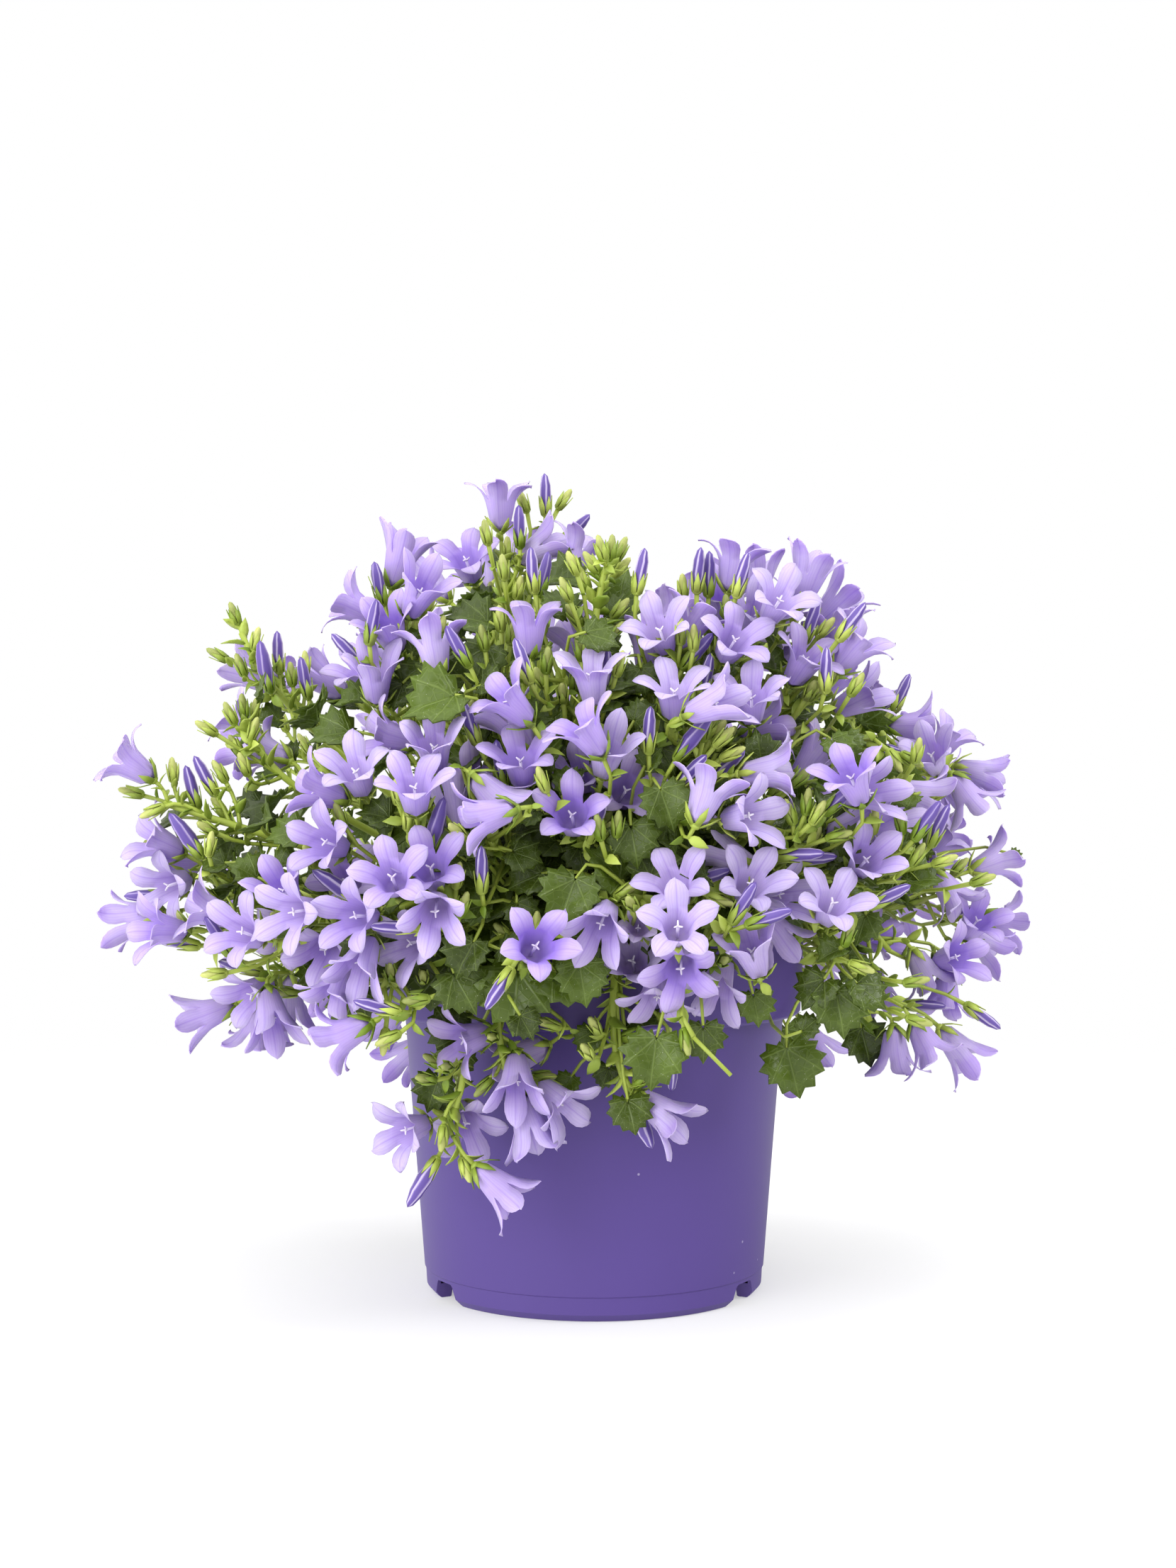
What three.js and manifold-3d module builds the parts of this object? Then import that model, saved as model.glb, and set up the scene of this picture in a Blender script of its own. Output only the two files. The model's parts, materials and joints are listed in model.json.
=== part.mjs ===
// A dalmatian bellflower (Campanula) in a purple plastic nursery pot.
// Millimetres, +Z up. The origin is on the ground under the middle of the pot, and the front is -Y.
import * as THREE from 'three';
import { mergeVertices } from 'three/addons/utils/BufferGeometryUtils.js';
import Module from 'manifold-3d';

const wasm = await Module();
wasm.setup();

// Pot
const POT_HEIGHT = 110;
const COLLAR_RADIUS = 65;
const COLLAR_BOTTOM = 85.3;
const COLLAR_TAPER = 1;
const LIP_ROUND = 0.8;
const LEDGE_RADIUS = 58.7;
const BODY_FOOT_RADIUS = 52.2;
const FOOT_RADIUS = 49.9;
const FOOT_ROUND = 2.2;
const PARTING_LINE_HEIGHT = 7.6;
const PARTING_LINE_STEP = 0.4;
const POT_WALL = 1.3;
const BASE_UNDERSIDE = 3.2;
const BASE_THICKNESS = 1.6;
const FOOT_RING_WIDTH = 3.4;
const POT_SIDES = 32;
const NOTCH_COUNT = 3;
const NOTCH_HEIGHT = 6.3;
const NOTCH_TOP_WIDTH = 9;
const NOTCH_BOTTOM_WIDTH = 16;
const NOTCH_INNER_RADIUS = 44;
const NOTCH_DEPTH = 14;

// Soil
const SOIL_TOP = 96;
const SOIL_GAP = 0.35;
const SOIL_SIDES = 12;
const HOLE_DEPTH = 11;
const HOLE_RADIUS = 3.4;
const SOIL_SHOULDER_RADIUS = 50;
const SOIL_SHOULDER_DROP = 1.5;

// The mound of foliage is an ellipsoid, and the blooms' mouths stand on it
const MOUND_CENTRE = new THREE.Vector3(0, 0, 112);
const MOUND_RADII = new THREE.Vector3(140, 112, 138);
const BACK_RADII = new THREE.Vector3(142, 119, 132);
const CROWN = new THREE.Vector3(0, 0, 100);

// A place on the front is given as right and up, in the plane of the pot's axis, and it lies somewhere on
// the sight line from this eye through that point
const EYE = new THREE.Vector3(-1.9, -717.8, 155.9);

// Stems
const ROOT_CIRCLE = 50;
const ROOT_SPACING = 9;
const STEM_FOOT_RADIUS = 1.35;
const STEM_TIP_RADIUS = 0.95;
const STEM_SPANS = 4;
const PEDICEL_RADIUS = 0.75;
const PEDICEL_START_RADIUS = 0.3;
const TIP_SETBACK = 9;
const KNEE = 4;
const KNEE_TURN = 0.4;

// A bloom, measured along its own axis from the calyx
const TUBE_LENGTH = 9.5;
const MOUTH_RADIUS = 5.5;
const LOBE_REACH = 11.2;
const LOBE_TIP_HEIGHT = 15.5;
const THROAT_HEIGHT = 8;
const CALYX_RADIUS = 1.3;

// A bud: green, closed and striped, or half open, or the bare end of a cut stem
const BUD_LENGTHS = [6.5, 12.5, 15.5, 14];
const BUD_RADII = [1.7, 1.8, 2.5, 0.9];

// A leaf blade: radii of half its outline as shares of its length, with their angles from the tip, and how
// far its stalk joins behind the middle
const LEAF_OUTLINE = [[0, 0.6], [33, 0.44], [68, 0.53], [120, 0.45]];
const LEAF_BASE = 0.2;
const LEAF_HALF_THICKNESS = 0.45;
const LEAF_CUP = 0.18;

// How items stand on the mound before they are moved: how far their depths vary, how much buds and leaves
// turn to the viewer in degrees, and how far they lie behind the blooms
const DEPTH_VARIATION = 6;
const SMALL_LIFT = 12;
const BUD_SINK = 3;
const LEAF_SINK = 9;

// Roots: how far out they start under a head straight above and how fast that grows with its lean, and how
// often they push each other apart
const ROOT_NEAR = 0.12;
const ROOT_FAN = 1.75;
const ROOT_TURNS = 60;

// The curve of a stem: its straight rise, and how much it bows over to a head lower than the rim
const LOW_HEAD = 128;
const RISE_MOST = 70;
const RISE_SHARE = 0.4;
const RISE_FOR_DROP = 0.35;
const LEAN_BACK = 0.3;
const LEAN_FOR_DROP = 0.8;
const LEAN_SAG = 0.15;
const LIFTS = [0, 8, 16, -6, 24, 34];
const SWINGS = [0, 4, -4, 8, -8];

// Room kept between neighbours, which balls stand for: [height, radius] up a bloom's tube, [reach, height,
// radius] along its lobes, and a ring of balls in a leaf
const CLEARANCE = 0.7;
const OWN_OVERLAP = 0.3;
const STALK_OVERLAP = 0.3;
const CELL = 14;
const STEM_BALL = 1.5;
const STALK_BALL = 1.1;
const TUBE_BALLS = [[2.5, 2.2], [6.5, 3.6], [10.5, 4.8]];
const LOBE_BALLS = [[7.2, 12.5, 2.4], [10.3, 15, 1.3]];
const LEAF_BALL = 1.5;
const LEAF_BALL_COUNT = 8;
const LEAF_BALL_SHARE = 0.4;

// Where a stalk may start on its stem, and what a turn away from the stem or from its item costs in mm
const START_MARGIN = 1.2;
const START_STEP = 1.5;
const START_SPACING = 2.8;
const START_TRIES = 5;
const STEM_TURN_COST = 10;
const ITEM_TURN_COST = 8;

// The moves that are tried until an item is clear: aside, in depth, and how deep it may still touch
const NUDGES = [[0, 0], [1.5, 1.5], [-1.5, -1.5], [3, -1], [-3, 1], [0, 3.5], [0, -3.5], [4.5, 2]];
const OFFSETS = {
  bloom: [0, 4, -4, 8, -8, 12, -12, 17, 22, 28],
  bud: [0, 4, -4, 8, -8, 12],
  leaf: [0, 4, -4, 8, 12, -8],
};
const DROP_LIMIT = 0.4;

// The stems of the back and the top stand on a sunflower spiral over the mound, and their blooms in a ring
// round each head. Distances are shares of the mound's radii
const BACK_POINTS = 29;
const BACK_FALL = 1.5;
const BACK_FRONT = 0.2;
const TOP_FRONT = -0.4;
const TOP_HEIGHT = 0.62;
const BACK_BLOOMS = 3;
const BACK_RING = [0.1, 0.04];
const BACK_REACH = [0.97, 0.06];
const BACK_TILT = 0.5;
const BACK_LEAF = { turn: 2, ring: 0.12, reach: 0.92, tilt: 1.5, size: [13, 5] };
const BACK_SAG = -0.5;
const BACK_RISE = 0.25;
const SEED = 20255;

// The outline of the mound seen from the front, as [angle, reach] round a point above the pot. The blooms of
// the back and the top stay inside it by a margin
const CREST_MIDDLE = 112;
const CREST_MARGIN = 10;
const CREST = [
  [-45, 88], [-22, 116], [-5, 126], [10, 134], [22, 136], [34, 120], [45, 120], [60, 130], [70, 124],
  [78, 104], [88, 112], [98, 134], [108, 132], [122, 126], [130, 114], [142, 134], [160, 146],
  [178, 142], [190, 126], [202, 100], [225, 80],
];

// The leafy stems of the front half. blooms: [right, up, aim, lift, scale], the middle of the mouth, the
// way it points in the front view (0 right, 90 up) and how far it turns to the viewer, in degrees.
// buds: [right, up, aim, kind] at the calyx. leaves: [right, up, aim of the tip, lift, length, away].
// away: how far behind the pot's axis a head or a leaf is, where it isn't on the mound.
const FRONT_STEMS = [
  {
    name: 'far_left_arm', away: -58, tip: [-134, 150], via: [[-98, 126], [-104, 146], [-120, 144]],
    blooms: [[-146, 163, 145, 10]],
    buds: [
      [-118, 153, 118, 1], [-123.5, 149, 105, 1], [-131, 157, 92, 0], [-141, 152.5, 165, 0],
      [-133, 147, 205, 0], [-115, 157, 120, 0], [-133, 142, 185, 0],
    ],
    leaves: [[-113, 137, 250, 60, 9]],
  },
  {
    name: 'left_bud_spike', away: -22, tip: [-110, 203], via: [[-88, 160], [-91, 178], [-104, 187]],
    blooms: [[-105, 190, 150, -15]],
    buds: [
      [-111, 206, 110, 0], [-106, 198, 75, 0], [-109, 190, 110, 0], [-113, 193, 150, 0],
      [-98, 191, 92, 1], [-90, 190.5, 90, 0], [-94, 187, 95, 0], [-101, 185, 100, 2],
      [-89, 183, 100, 1],
    ],
    leaves: [[-100, 176, 170, 50, 10]],
  },
  {
    name: 'left_low_spike', away: -40, tip: [-109, 176], via: [[-92, 140], [-98, 158], [-106, 166]],
    blooms: [[-103, 166, 160, -20]],
    buds: [
      [-112, 175, 115, 0], [-109, 177, 95, 0], [-106, 176, 80, 0], [-107, 170, 70, 0],
      [-110, 165, 120, 0], [-108, 159, 110, 0],
    ],
    leaves: [[-106, 149, 200, 40, 12], [-99, 143, 250, 60, 11]],
  },
  {
    name: 'left_cluster', away: -56,
    blooms: [
      [-137, 138, 155, 25], [-132, 130, 185, 10], [-133, 124, 200, 55], [-143, 114, 190, -15],
      [-136, 111, 170, 35],
    ],
    buds: [[-124, 135, 125, 2], [-128, 119, 180, 1], [-123.5, 105.5, 170, 1]],
    leaves: [[-113, 124, 200, 60, 10]],
  },
  {
    name: 'left_front', blooms: [
      [-122, 117, 160, 10], [-110, 110, 150, 55], [-97, 123, 115, 40], [-94, 116, 185, 55],
      [-93, 109, 235, 60],
    ],
    buds: [[-117, 102, 122, 1]],
    leaves: [[-97, 131, 20, 40, 10], [-107, 128, 150, 50, 11]],
  },
  {
    name: 'lower_left', away: -52, tip: [-95, 97], blooms: [
      [-107, 90, 215, 45], [-121, 84, 200, -5], [-105, 79, 262, -5], [-95, 87, 268, -5],
      [-100, 83, 285, 25],
    ],
    buds: [[-104, 97.5, 165, 1]],
    leaves: [],
  },
  {
    name: 'left_of_pot', tip: [-66, 92], blooms: [
      [-81, 91, 245, 25], [-79, 77, 205, -10], [-73, 100, 250, 40], [-84, 104, 240, 60],
    ],
    buds: [[-61, 85, 165, 1]],
    leaves: [[-75, 89, 250, 60, 15]],
  },
  {
    name: 'left_row', blooms: [
      [-73, 113, 175, 60], [-61, 105, 190, 50], [-84, 138, 155, 55], [-77, 126, 110, 60],
    ],
    buds: [[-57, 113, 178, 1], [-75, 121, 145, 2]],
    leaves: [[-92, 139, 190, 50, 12]],
  },
  {
    name: 'left_of_centre', blooms: [
      [-63, 127, 100, 65], [-51, 130, 100, 55], [-49.5, 120, 270, 70],
    ],
    buds: [[-51, 139, 75, 2]],
    leaves: [[-50, 99, 230, 70, 20], [-42, 94, 300, 70, 15], [-39, 104, 240, 50, 13]],
  },
  {
    name: 'left_shoulder', blooms: [
      [-87, 154, 160, 10], [-74.5, 160, 105, 45], [-66, 171, 165, 15], [-50, 167.5, 95, 45],
      [-56, 155, 90, 40],
    ],
    buds: [],
    leaves: [[-79, 172, 190, 40, 15], [-69, 183, 175, 30, 12], [-66, 146, 170, 50, 11]],
  },
  {
    name: 'inner_left', blooms: [
      [-45, 152, 100, -5], [-37, 147, 195, 5], [-30, 147, 315, -5],
    ],
    buds: [[-35, 122.5, 90, 1]],
    leaves: [[-25, 136, 340, 60, 11]],
  },
  {
    name: 'upper_centre_left', blooms: [
      [-34, 158, 80, 60], [-23, 163.5, 95, 35], [-26, 175, 125, 0], [-27, 182, 135, 20],
    ],
    buds: [[-33, 170, 110, 1], [-28, 160, 100, 1]],
    leaves: [[-17, 178, 30, 60, 11], [-42, 180, 200, 55, 18]],
  },
  {
    name: 'upper_left', blooms: [
      [-68, 190, 90, 30], [-76, 212, 150, 10], [-64, 204.5, 110, 45], [-60, 227, 72, 0],
      [-54, 216, 60, 35],
    ],
    buds: [[-72, 193, 135, 1], [-70, 196, 80, 1], [-66, 212, 100, 1], [-67, 216, 105, 0]],
    leaves: [[-54, 190, 260, 50, 13], [-62, 187, 250, 40, 10]],
  },
  {
    name: 'top', away: -18, tip: [-29, 222], blooms: [
      [-29, 244.5, 90, 10], [-40, 226, 108, 45], [-16, 230, 28, 10], [-4, 229, 68, 5],
    ],
    buds: [[-23, 230, 92, 1], [-15, 240, 92, 1], [-21, 241, 110, 0], [-11, 242, 55, 0], [-10, 231, 45, 1]],
    leaves: [],
  },
  {
    name: 'upper_left_leaves', blooms: [[-50, 199, 100, -10]],
    buds: [[-54, 193, 85, 1], [-39, 193, 120, 1]],
    leaves: [
      [-36, 207, 172, 45, 15], [-46, 190, 195, 60, 13], [-34, 196, 250, 70, 13],
      [-33, 187, 10, 50, 10],
    ],
  },
  {
    name: 'upright', away: -78, tip: [4, 224], via: [[-1, 160], [-1.5, 190], [-1, 210]],
    blooms: [],
    buds: [
      [5, 226, 85, 0], [7, 226, 65, 0], [3, 226, 105, 0], [1, 222, 125, 0], [-2, 217, 115, 0],
      [6, 221, 45, 0], [6, 208, 50, 0], [4, 201, 45, 0], [-4, 206, 130, 0],
    ],
    leaves: [[3, 203, 330, 50, 9]],
  },
  {
    name: 'centre_bells', blooms: [
      [-20, 206, 90, 10], [-1, 190, 95, 25], [-6, 201, 125, 10],
    ],
    buds: [[-18.5, 216, 95, 1], [-17, 215, 78, 1], [-20, 188, 110, 1], [4, 184, 90, 1]],
    leaves: [[-7, 220, 175, 50, 14], [8, 214, 80, 30, 14], [12, 206, 20, 50, 12], [5, 200, 340, 50, 12]],
  },
  {
    name: 'centre_right_star', blooms: [
      [20.5, 204, 110, 50], [17, 199, 85, -5], [31, 207, 62, 0],
    ],
    buds: [[28, 214, 95, 0], [15, 214, 80, 1]],
    leaves: [[15, 190, 280, 60, 10], [10, 202, 300, 50, 10]],
  },
  {
    name: 'right_dome', blooms: [
      [40.5, 212, 95, 40], [44, 226, 78, 5], [51, 220, 95, -5], [44, 201, 60, 50], [52.5, 207, 70, 50],
      [58, 213.5, 60, 45],
    ],
    buds: [[32, 216, 85, 1], [46, 213, 75, 1], [39, 216, 90, 1], [64, 202, 72, 1], [61, 206, 85, 1]],
    leaves: [[41, 193, 20, 50, 11]],
  },
  {
    name: 'right_dome_edge', blooms: [
      [67, 221, 72, 5], [76, 213, 45, 5], [66, 195, 60, 30], [82, 199, 50, 15], [77, 203, 95, -10],
    ],
    buds: [[73, 200, 55, 1], [72, 181, 90, 1], [75, 192, 70, 1]],
    leaves: [[63, 176, 340, 55, 13]],
  },
  {
    name: 'right_of_centre', blooms: [
      [49, 183, 95, 40], [55, 174, 15, 10], [25, 185, 90, 30], [38, 181, 22, 15],
    ],
    buds: [[33, 190, 50, 1], [30, 182, 78, 1]],
    leaves: [[27, 163, 300, 60, 10]],
  },
  {
    name: 'centre', blooms: [
      [4, 166, 80, 45], [-4.5, 158, 110, 55], [-7, 146.5, 100, 60], [-7, 172, 125, 20],
    ],
    buds: [[-3, 140, 70, 1]],
    leaves: [[-6, 136, 280, 60, 10], [3, 131, 320, 60, 12]],
  },
  {
    name: 'centre_star', blooms: [[10, 154, 60, 65], [35.5, 153, 68, -15], [48.5, 146, 10, 40]],
    buds: [
      [17, 166, 88, 1], [25.5, 154.5, 48, 1], [36.5, 157, 42, 1], [36, 142, 58, 1], [24, 165.5, 52, 2],
      [34, 170, 85, 1],
    ],
    leaves: [[12, 144, 280, 65, 14], [27, 149, 290, 65, 14]],
  },
  {
    name: 'right_bells', blooms: [[56, 160, 5, 0], [69, 165, 52, 5]],
    buds: [],
    leaves: [[52, 168, 100, 60, 13], [75, 168, 300, 50, 10]],
  },
  {
    name: 'right_middle', blooms: [
      [25, 125, 110, 50], [49, 125, 70, 60], [58, 121.5, 10, 40], [43, 132, 155, -20],
    ],
    buds: [[31, 123, 20, 1], [46, 137, 15, 1], [61, 134.5, 5, 1]],
    leaves: [[22, 118, 200, 60, 10], [23, 139, 160, 50, 10], [64, 126, 300, 60, 10]],
  },
  {
    name: 'front_centre', tip: [16, 118], blooms: [
      [28, 110, 90, 65], [27, 98, 260, 65], [12, 101, 100, 65], [2, 112, 245, 55],
      [12, 113, 90, 70, 0.6],
    ],
    buds: [],
    leaves: [[-7, 123, 250, 70, 16], [-19, 127, 200, 65, 12], [-23, 117, 300, 65, 10]],
  },
  {
    name: 'front_right', tip: [42, 108], blooms: [
      [38, 93, 245, 40], [18, 91, 262, 30], [49, 104, 110, 35], [56, 114, 305, -15],
    ],
    buds: [[43, 113, 60, 1], [48, 112, 20, 1], [31, 77, 315, 3]],
    leaves: [[50, 88, 280, 60, 11], [34, 82, 270, 60, 12], [19, 73, 262, 55, 17]],
  },
  {
    name: 'front_left_star', blooms: [[-18, 105.5, 60, 65]],
    buds: [[-26, 98, 238, 1]],
    leaves: [[-24, 93, 265, 75, 21], [-4, 97, 280, 60, 14], [-35, 116, 200, 60, 11]],
  },
  {
    name: 'right_row', blooms: [
      [71, 118, 75, 50], [85, 132.5, 60, 60], [86, 153, 15, 40], [80, 158, 115, 30],
    ],
    buds: [[72, 147, 45, 1], [60, 134, 5, 1]],
    leaves: [[72, 129, 20, 60, 10], [84, 113, 250, 60, 11], [77, 141, 280, 50, 10]],
  },
  {
    name: 'right_shoulder', blooms: [[81.5, 143, 20, 5], [94, 146, 30, 30], [103, 152, 345, -10]],
    buds: [[100, 139, 58, 1], [105, 137, 68, 1], [86, 118, 28, 1]],
    leaves: [[100, 126, 10, 50, 12]],
  },
  {
    name: 'right_upper_edge', away: 8, tip: [90, 172], via: [[72, 165], [78, 178]], blooms: [
      [101, 174, 0, 5], [105, 165, 120, 50], [111, 171, 58, 15],
    ],
    buds: [
      [93.5, 179, 68, 1], [88, 178, 42, 1], [81, 180, 58, 1], [84, 168, 350, 1], [88, 175, 30, 0],
      [95, 176, 45, 0],
    ],
    leaves: [],
  },
  {
    name: 'right_edge', away: 30, tip: [100, 157], blooms: [
      [121, 159, 345, 5], [109, 157, 352, 5], [118, 150, 305, -5],
    ],
    buds: [],
    leaves: [],
  },
  {
    name: 'far_right', away: 26, tip: [106, 122], blooms: [
      [104, 127, 160, 45], [110, 137, 40, 10], [112, 121, 305, 10], [118, 115, 60, 40],
      [128, 113, 350, -15], [122, 109, 325, -10], [125, 132, 20, -20],
    ],
    buds: [[108, 113, 25, 1]],
    leaves: [[125, 122, 270, 60, 12], [128, 136, 80, 50, 9], [129, 135, 320, 40, 6]],
  },
  {
    name: 'lower_right', away: 0, tip: [92, 104], blooms: [
      [113, 102, 20, 50], [104, 96, 300, 0], [109, 89, 262, 10], [88, 108, 30, 35], [89, 90, 290, 10],
    ],
    buds: [[97, 87, 0, 1]],
    leaves: [[84, 93, 290, 60, 12]],
  },
  {
    name: 'right_of_pot', away: -8, tip: [86, 82], blooms: [
      [93.5, 71, 272, 0], [103, 75, 300, 5], [114, 73, 312, -5],
    ],
    buds: [[113, 86, 325, 1]],
    leaves: [[84, 77, 285, 60, 15], [61, 70, 285, 70, 18, -58]],
  },
  {
    name: 'front_trail', away: -80, tip: [-27, 66], via: [[-33, 108], [-33, 84]], blooms: [
      [-41, 76, 195, 30], [-24, 71, 200, 5], [-24, 63, 272, 40], [-20, 49, 285, 5],
      [-14, 55, 320, 30],
    ],
    buds: [[-32, 64, 225, 0], [-19, 65, 0, 0], [-11, 80, 160, 0]],
    leaves: [[-42, 71, 230, 60, 12]],
  },
  {
    name: 'left_trail', away: -76, tip: [-46, 50], via: [[-44, 106], [-38, 76], [-38, 62]], blooms: [
      [-40, 50, 300, 60], [-59, 48, 190, 50], [-29, 30, 318, -5],
    ],
    buds: [[-49, 39, 238, 2], [-41, 39, 290, 0], [-47, 49, 265, 0]],
    leaves: [[-46, 63, 250, 65, 12], [-46, 56, 280, 60, 8]],
  },
  {
    name: 'centre_trail', away: -74, tip: [12, 60], via: [[6, 120], [5, 86], [3, 70]], blooms: [
      [22, 53, 325, 15],
    ],
    buds: [[9, 77, 15, 1], [18, 65, 8, 0], [13, 62, 40, 0], [11, 58, 295, 2], [24, 74, 270, 1]],
    leaves: [[-1, 77, 250, 60, 10], [-8, 67, 240, 50, 8], [4, 66, 250, 50, 8]],
  },
];

const vec = (x, y, z) => new THREE.Vector3(x, y, z);
const radians = THREE.MathUtils.degToRad;
const UP = vec(0, 0, 1);

// One seeded stream of numbers from 0 to 1
function makeRandom(seed) {
  let state = seed;
  return () => {
    state = (state + 0x6d2b79f5) | 0;
    let t = Math.imul(state ^ (state >>> 15), 1 | state);
    t = (t + Math.imul(t ^ (t >>> 7), 61 | t)) ^ t;
    return ((t ^ (t >>> 14)) >>> 0) / 4294967296;
  };
}

const along = (from, direction, distance) => from.clone().addScaledVector(direction, distance);
const between = (a, b, share) => a.clone().lerp(b, share);
const unit = (from, to) => to.clone().sub(from).normalize();

// The point that the eye sees at right and up, at a depth behind the pot's axis
function seen(right, up, away) {
  const share = (away - EYE.y) / -EYE.y;
  return vec(EYE.x + (right - EYE.x) * share, away, EYE.z + (up - EYE.z) * share);
}

// The depth at which that sight line meets the mound, or passes closest to it
function moundDepth(right, up) {
  const start = EYE.clone().sub(MOUND_CENTRE).divide(MOUND_RADII);
  const run = vec(right, 0, up).sub(EYE).divide(MOUND_RADII);
  const a = run.dot(run);
  const b = start.dot(run);
  const reach = Math.max(b * b - a * (start.dot(start) - 1), 0);
  return EYE.y * (1 - (-b - Math.sqrt(reach)) / a);
}

// A direction from its angle in the front view and its turn towards the viewer
function aimed(aim, lift) {
  const flat = Math.cos(radians(lift));
  return vec(Math.cos(radians(aim)) * flat, -Math.sin(radians(lift)), Math.sin(radians(aim)) * flat);
}

// Two directions square to a third
function squareTo(axis) {
  const across = (Math.abs(axis.z) < 0.9 ? UP : vec(1, 0, 0)).clone().cross(axis).normalize();
  return [across, axis.clone().cross(across)];
}

function moundNormal(point) {
  const scaled = point.clone().sub(MOUND_CENTRE).divide(MOUND_RADII).divide(MOUND_RADII);
  return scaled.normalize();
}

// Where everything on a front stem goes, before it is moved clear of its neighbours
function planFrontStem(stem, random) {
  const item = (kind, right, up, direction, sink, more, away = stem.away) => {
    const base = away ?? moundDepth(right, up);
    const point = seen(right, up, base + sink + (random() - 0.5) * DEPTH_VARIATION);
    return { kind, point, shift: unit(EYE, point), direction, roll: random() * 72, ...more };
  };
  const blooms = stem.blooms.map(([right, up, aim, lift, scale = 1]) =>
    item('bloom', right, up, aimed(aim, lift), 0, { scale }));
  const buds = stem.buds.map(([right, up, aim, stage]) =>
    item('bud', right, up, aimed(aim, SMALL_LIFT), BUD_SINK, { stage }));
  const leaves = stem.leaves.map(([right, up, aim, lift, size, away]) => {
    const face = vec(0, -Math.sin(radians(lift)), Math.cos(radians(lift)));
    return item('leaf', right, up, aimed(aim, SMALL_LIFT), LEAF_SINK, { size, face }, away);
  });
  const head = stem.tip && seen(...stem.tip, stem.away ?? moundDepth(...stem.tip) + TIP_SETBACK);
  const via = (stem.via ?? []).map(([right, up]) => seen(right, up, stem.away));
  return { name: stem.name, items: [...blooms, ...buds, ...leaves], head, via };
}

// How far the mound's outline reaches at an angle
function crestAt(angle) {
  const next = Math.max(CREST.findIndex(([at]) => at >= angle), 1);
  const [[from, low], [to, high]] = CREST.slice(next - 1, next + 1);
  return THREE.MathUtils.lerp(low, high, THREE.MathUtils.clamp((angle - from) / (to - from), 0, 1));
}

// Draws a point towards the middle of the mound until the eye sees it inside the outline
function drawnIn(point) {
  const drawn = point.clone();
  for (;;) {
    const share = -EYE.y / (drawn.y - EYE.y);
    const right = EYE.x + (drawn.x - EYE.x) * share;
    const up = EYE.z + (drawn.z - EYE.z) * share - CREST_MIDDLE;
    const angle = (THREE.MathUtils.radToDeg(Math.atan2(up, right)) + 405) % 360 - 45;
    if (Math.hypot(right, up) <= crestAt(angle) - CREST_MARGIN) return drawn;
    drawn.lerp(MOUND_CENTRE, 0.03);
  }
}

const varied = ([least, variation], random) => least + random() * variation;

// The back half and the top follow the sunflower spiral over the mound
function planBackStems(random) {
  const golden = Math.PI * (3 - Math.sqrt(5));
  const stems = [];
  for (let i = 0; i < BACK_POINTS; i++) {
    const height = 1 - (i + 0.5) * BACK_FALL / BACK_POINTS;
    const ring = Math.sqrt(1 - height * height);
    const centre = vec(Math.cos(golden * i) * ring, Math.sin(golden * i) * ring, height);
    if (centre.y < (height > TOP_HEIGHT ? TOP_FRONT : BACK_FRONT)) continue;
    stems.push(planBackStem(centre, stems.length, random));
  }
  return stems;
}

function planBackStem(centre, index, random) {
  const [across, upward] = squareTo(centre);
  const place = (angle, spread, out) => {
    const point = centre.clone().addScaledVector(across, Math.cos(angle) * spread);
    point.addScaledVector(upward, Math.sin(angle) * spread).normalize();
    return drawnIn(point.multiply(BACK_RADII).multiplyScalar(out).add(MOUND_CENTRE));
  };
  const item = (kind, angle, spread, out, tilt, more) => {
    const point = place(angle, spread, out);
    const normal = moundNormal(point);
    const side = unit(place(angle, 0, out), point);
    const sag = vec(0, 0, centre.z < -0.1 ? BACK_SAG : BACK_RISE);
    const direction = normal.clone().addScaledVector(side, tilt).add(sag);
    direction.normalize();
    return { kind, point, shift: normal.clone().negate(), direction, roll: random() * 72, ...more };
  };
  const items = [];
  const start = random() * Math.PI;
  for (let i = 0; i < BACK_BLOOMS; i++) {
    const angle = start + (i + (random() - 0.5) * 0.5) * 2 * Math.PI / BACK_BLOOMS;
    const ring = varied(BACK_RING, random);
    items.push(item('bloom', angle, ring, varied(BACK_REACH, random), BACK_TILT, { scale: 1 }));
  }
  const { turn, ring, reach, tilt, size } = BACK_LEAF;
  const leaf = item('leaf', start + turn, ring, reach, tilt, { size: varied(size, random) });
  items.push({ ...leaf, face: moundNormal(leaf.point) });
  return { name: `back_stem_${String(index + 1).padStart(2, '0')}`, items, via: [] };
}

// Balls that stand for what is already placed, sorted into cells, to keep neighbours apart
const placed = new Map();
const cellKey = (x, y, z) => (x + 100) * 40000 + (y + 100) * 200 + (z + 100);

function remember(balls, owner) {
  for (const ball of balls) {
    const key = cellKey(...ball.at.toArray().map((value) => Math.floor(value / CELL)));
    if (!placed.has(key)) placed.set(key, []);
    placed.get(key).push({ ...ball, owner });
  }
}

// How far a ball is in the pot's wall
function inPot({ at, radius }) {
  const wall = (at.z > COLLAR_BOTTOM - 1 ? COLLAR_RADIUS : LEDGE_RADIUS) + 0.6;
  const out = Math.hypot(at.x, at.y);
  if (out + radius < LEDGE_RADIUS + 3 && at.z > SOIL_TOP - HOLE_DEPTH - 1) return 0;
  return Math.min(POT_HEIGHT + 0.7 - (at.z - radius), wall - (out - radius));
}

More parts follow.
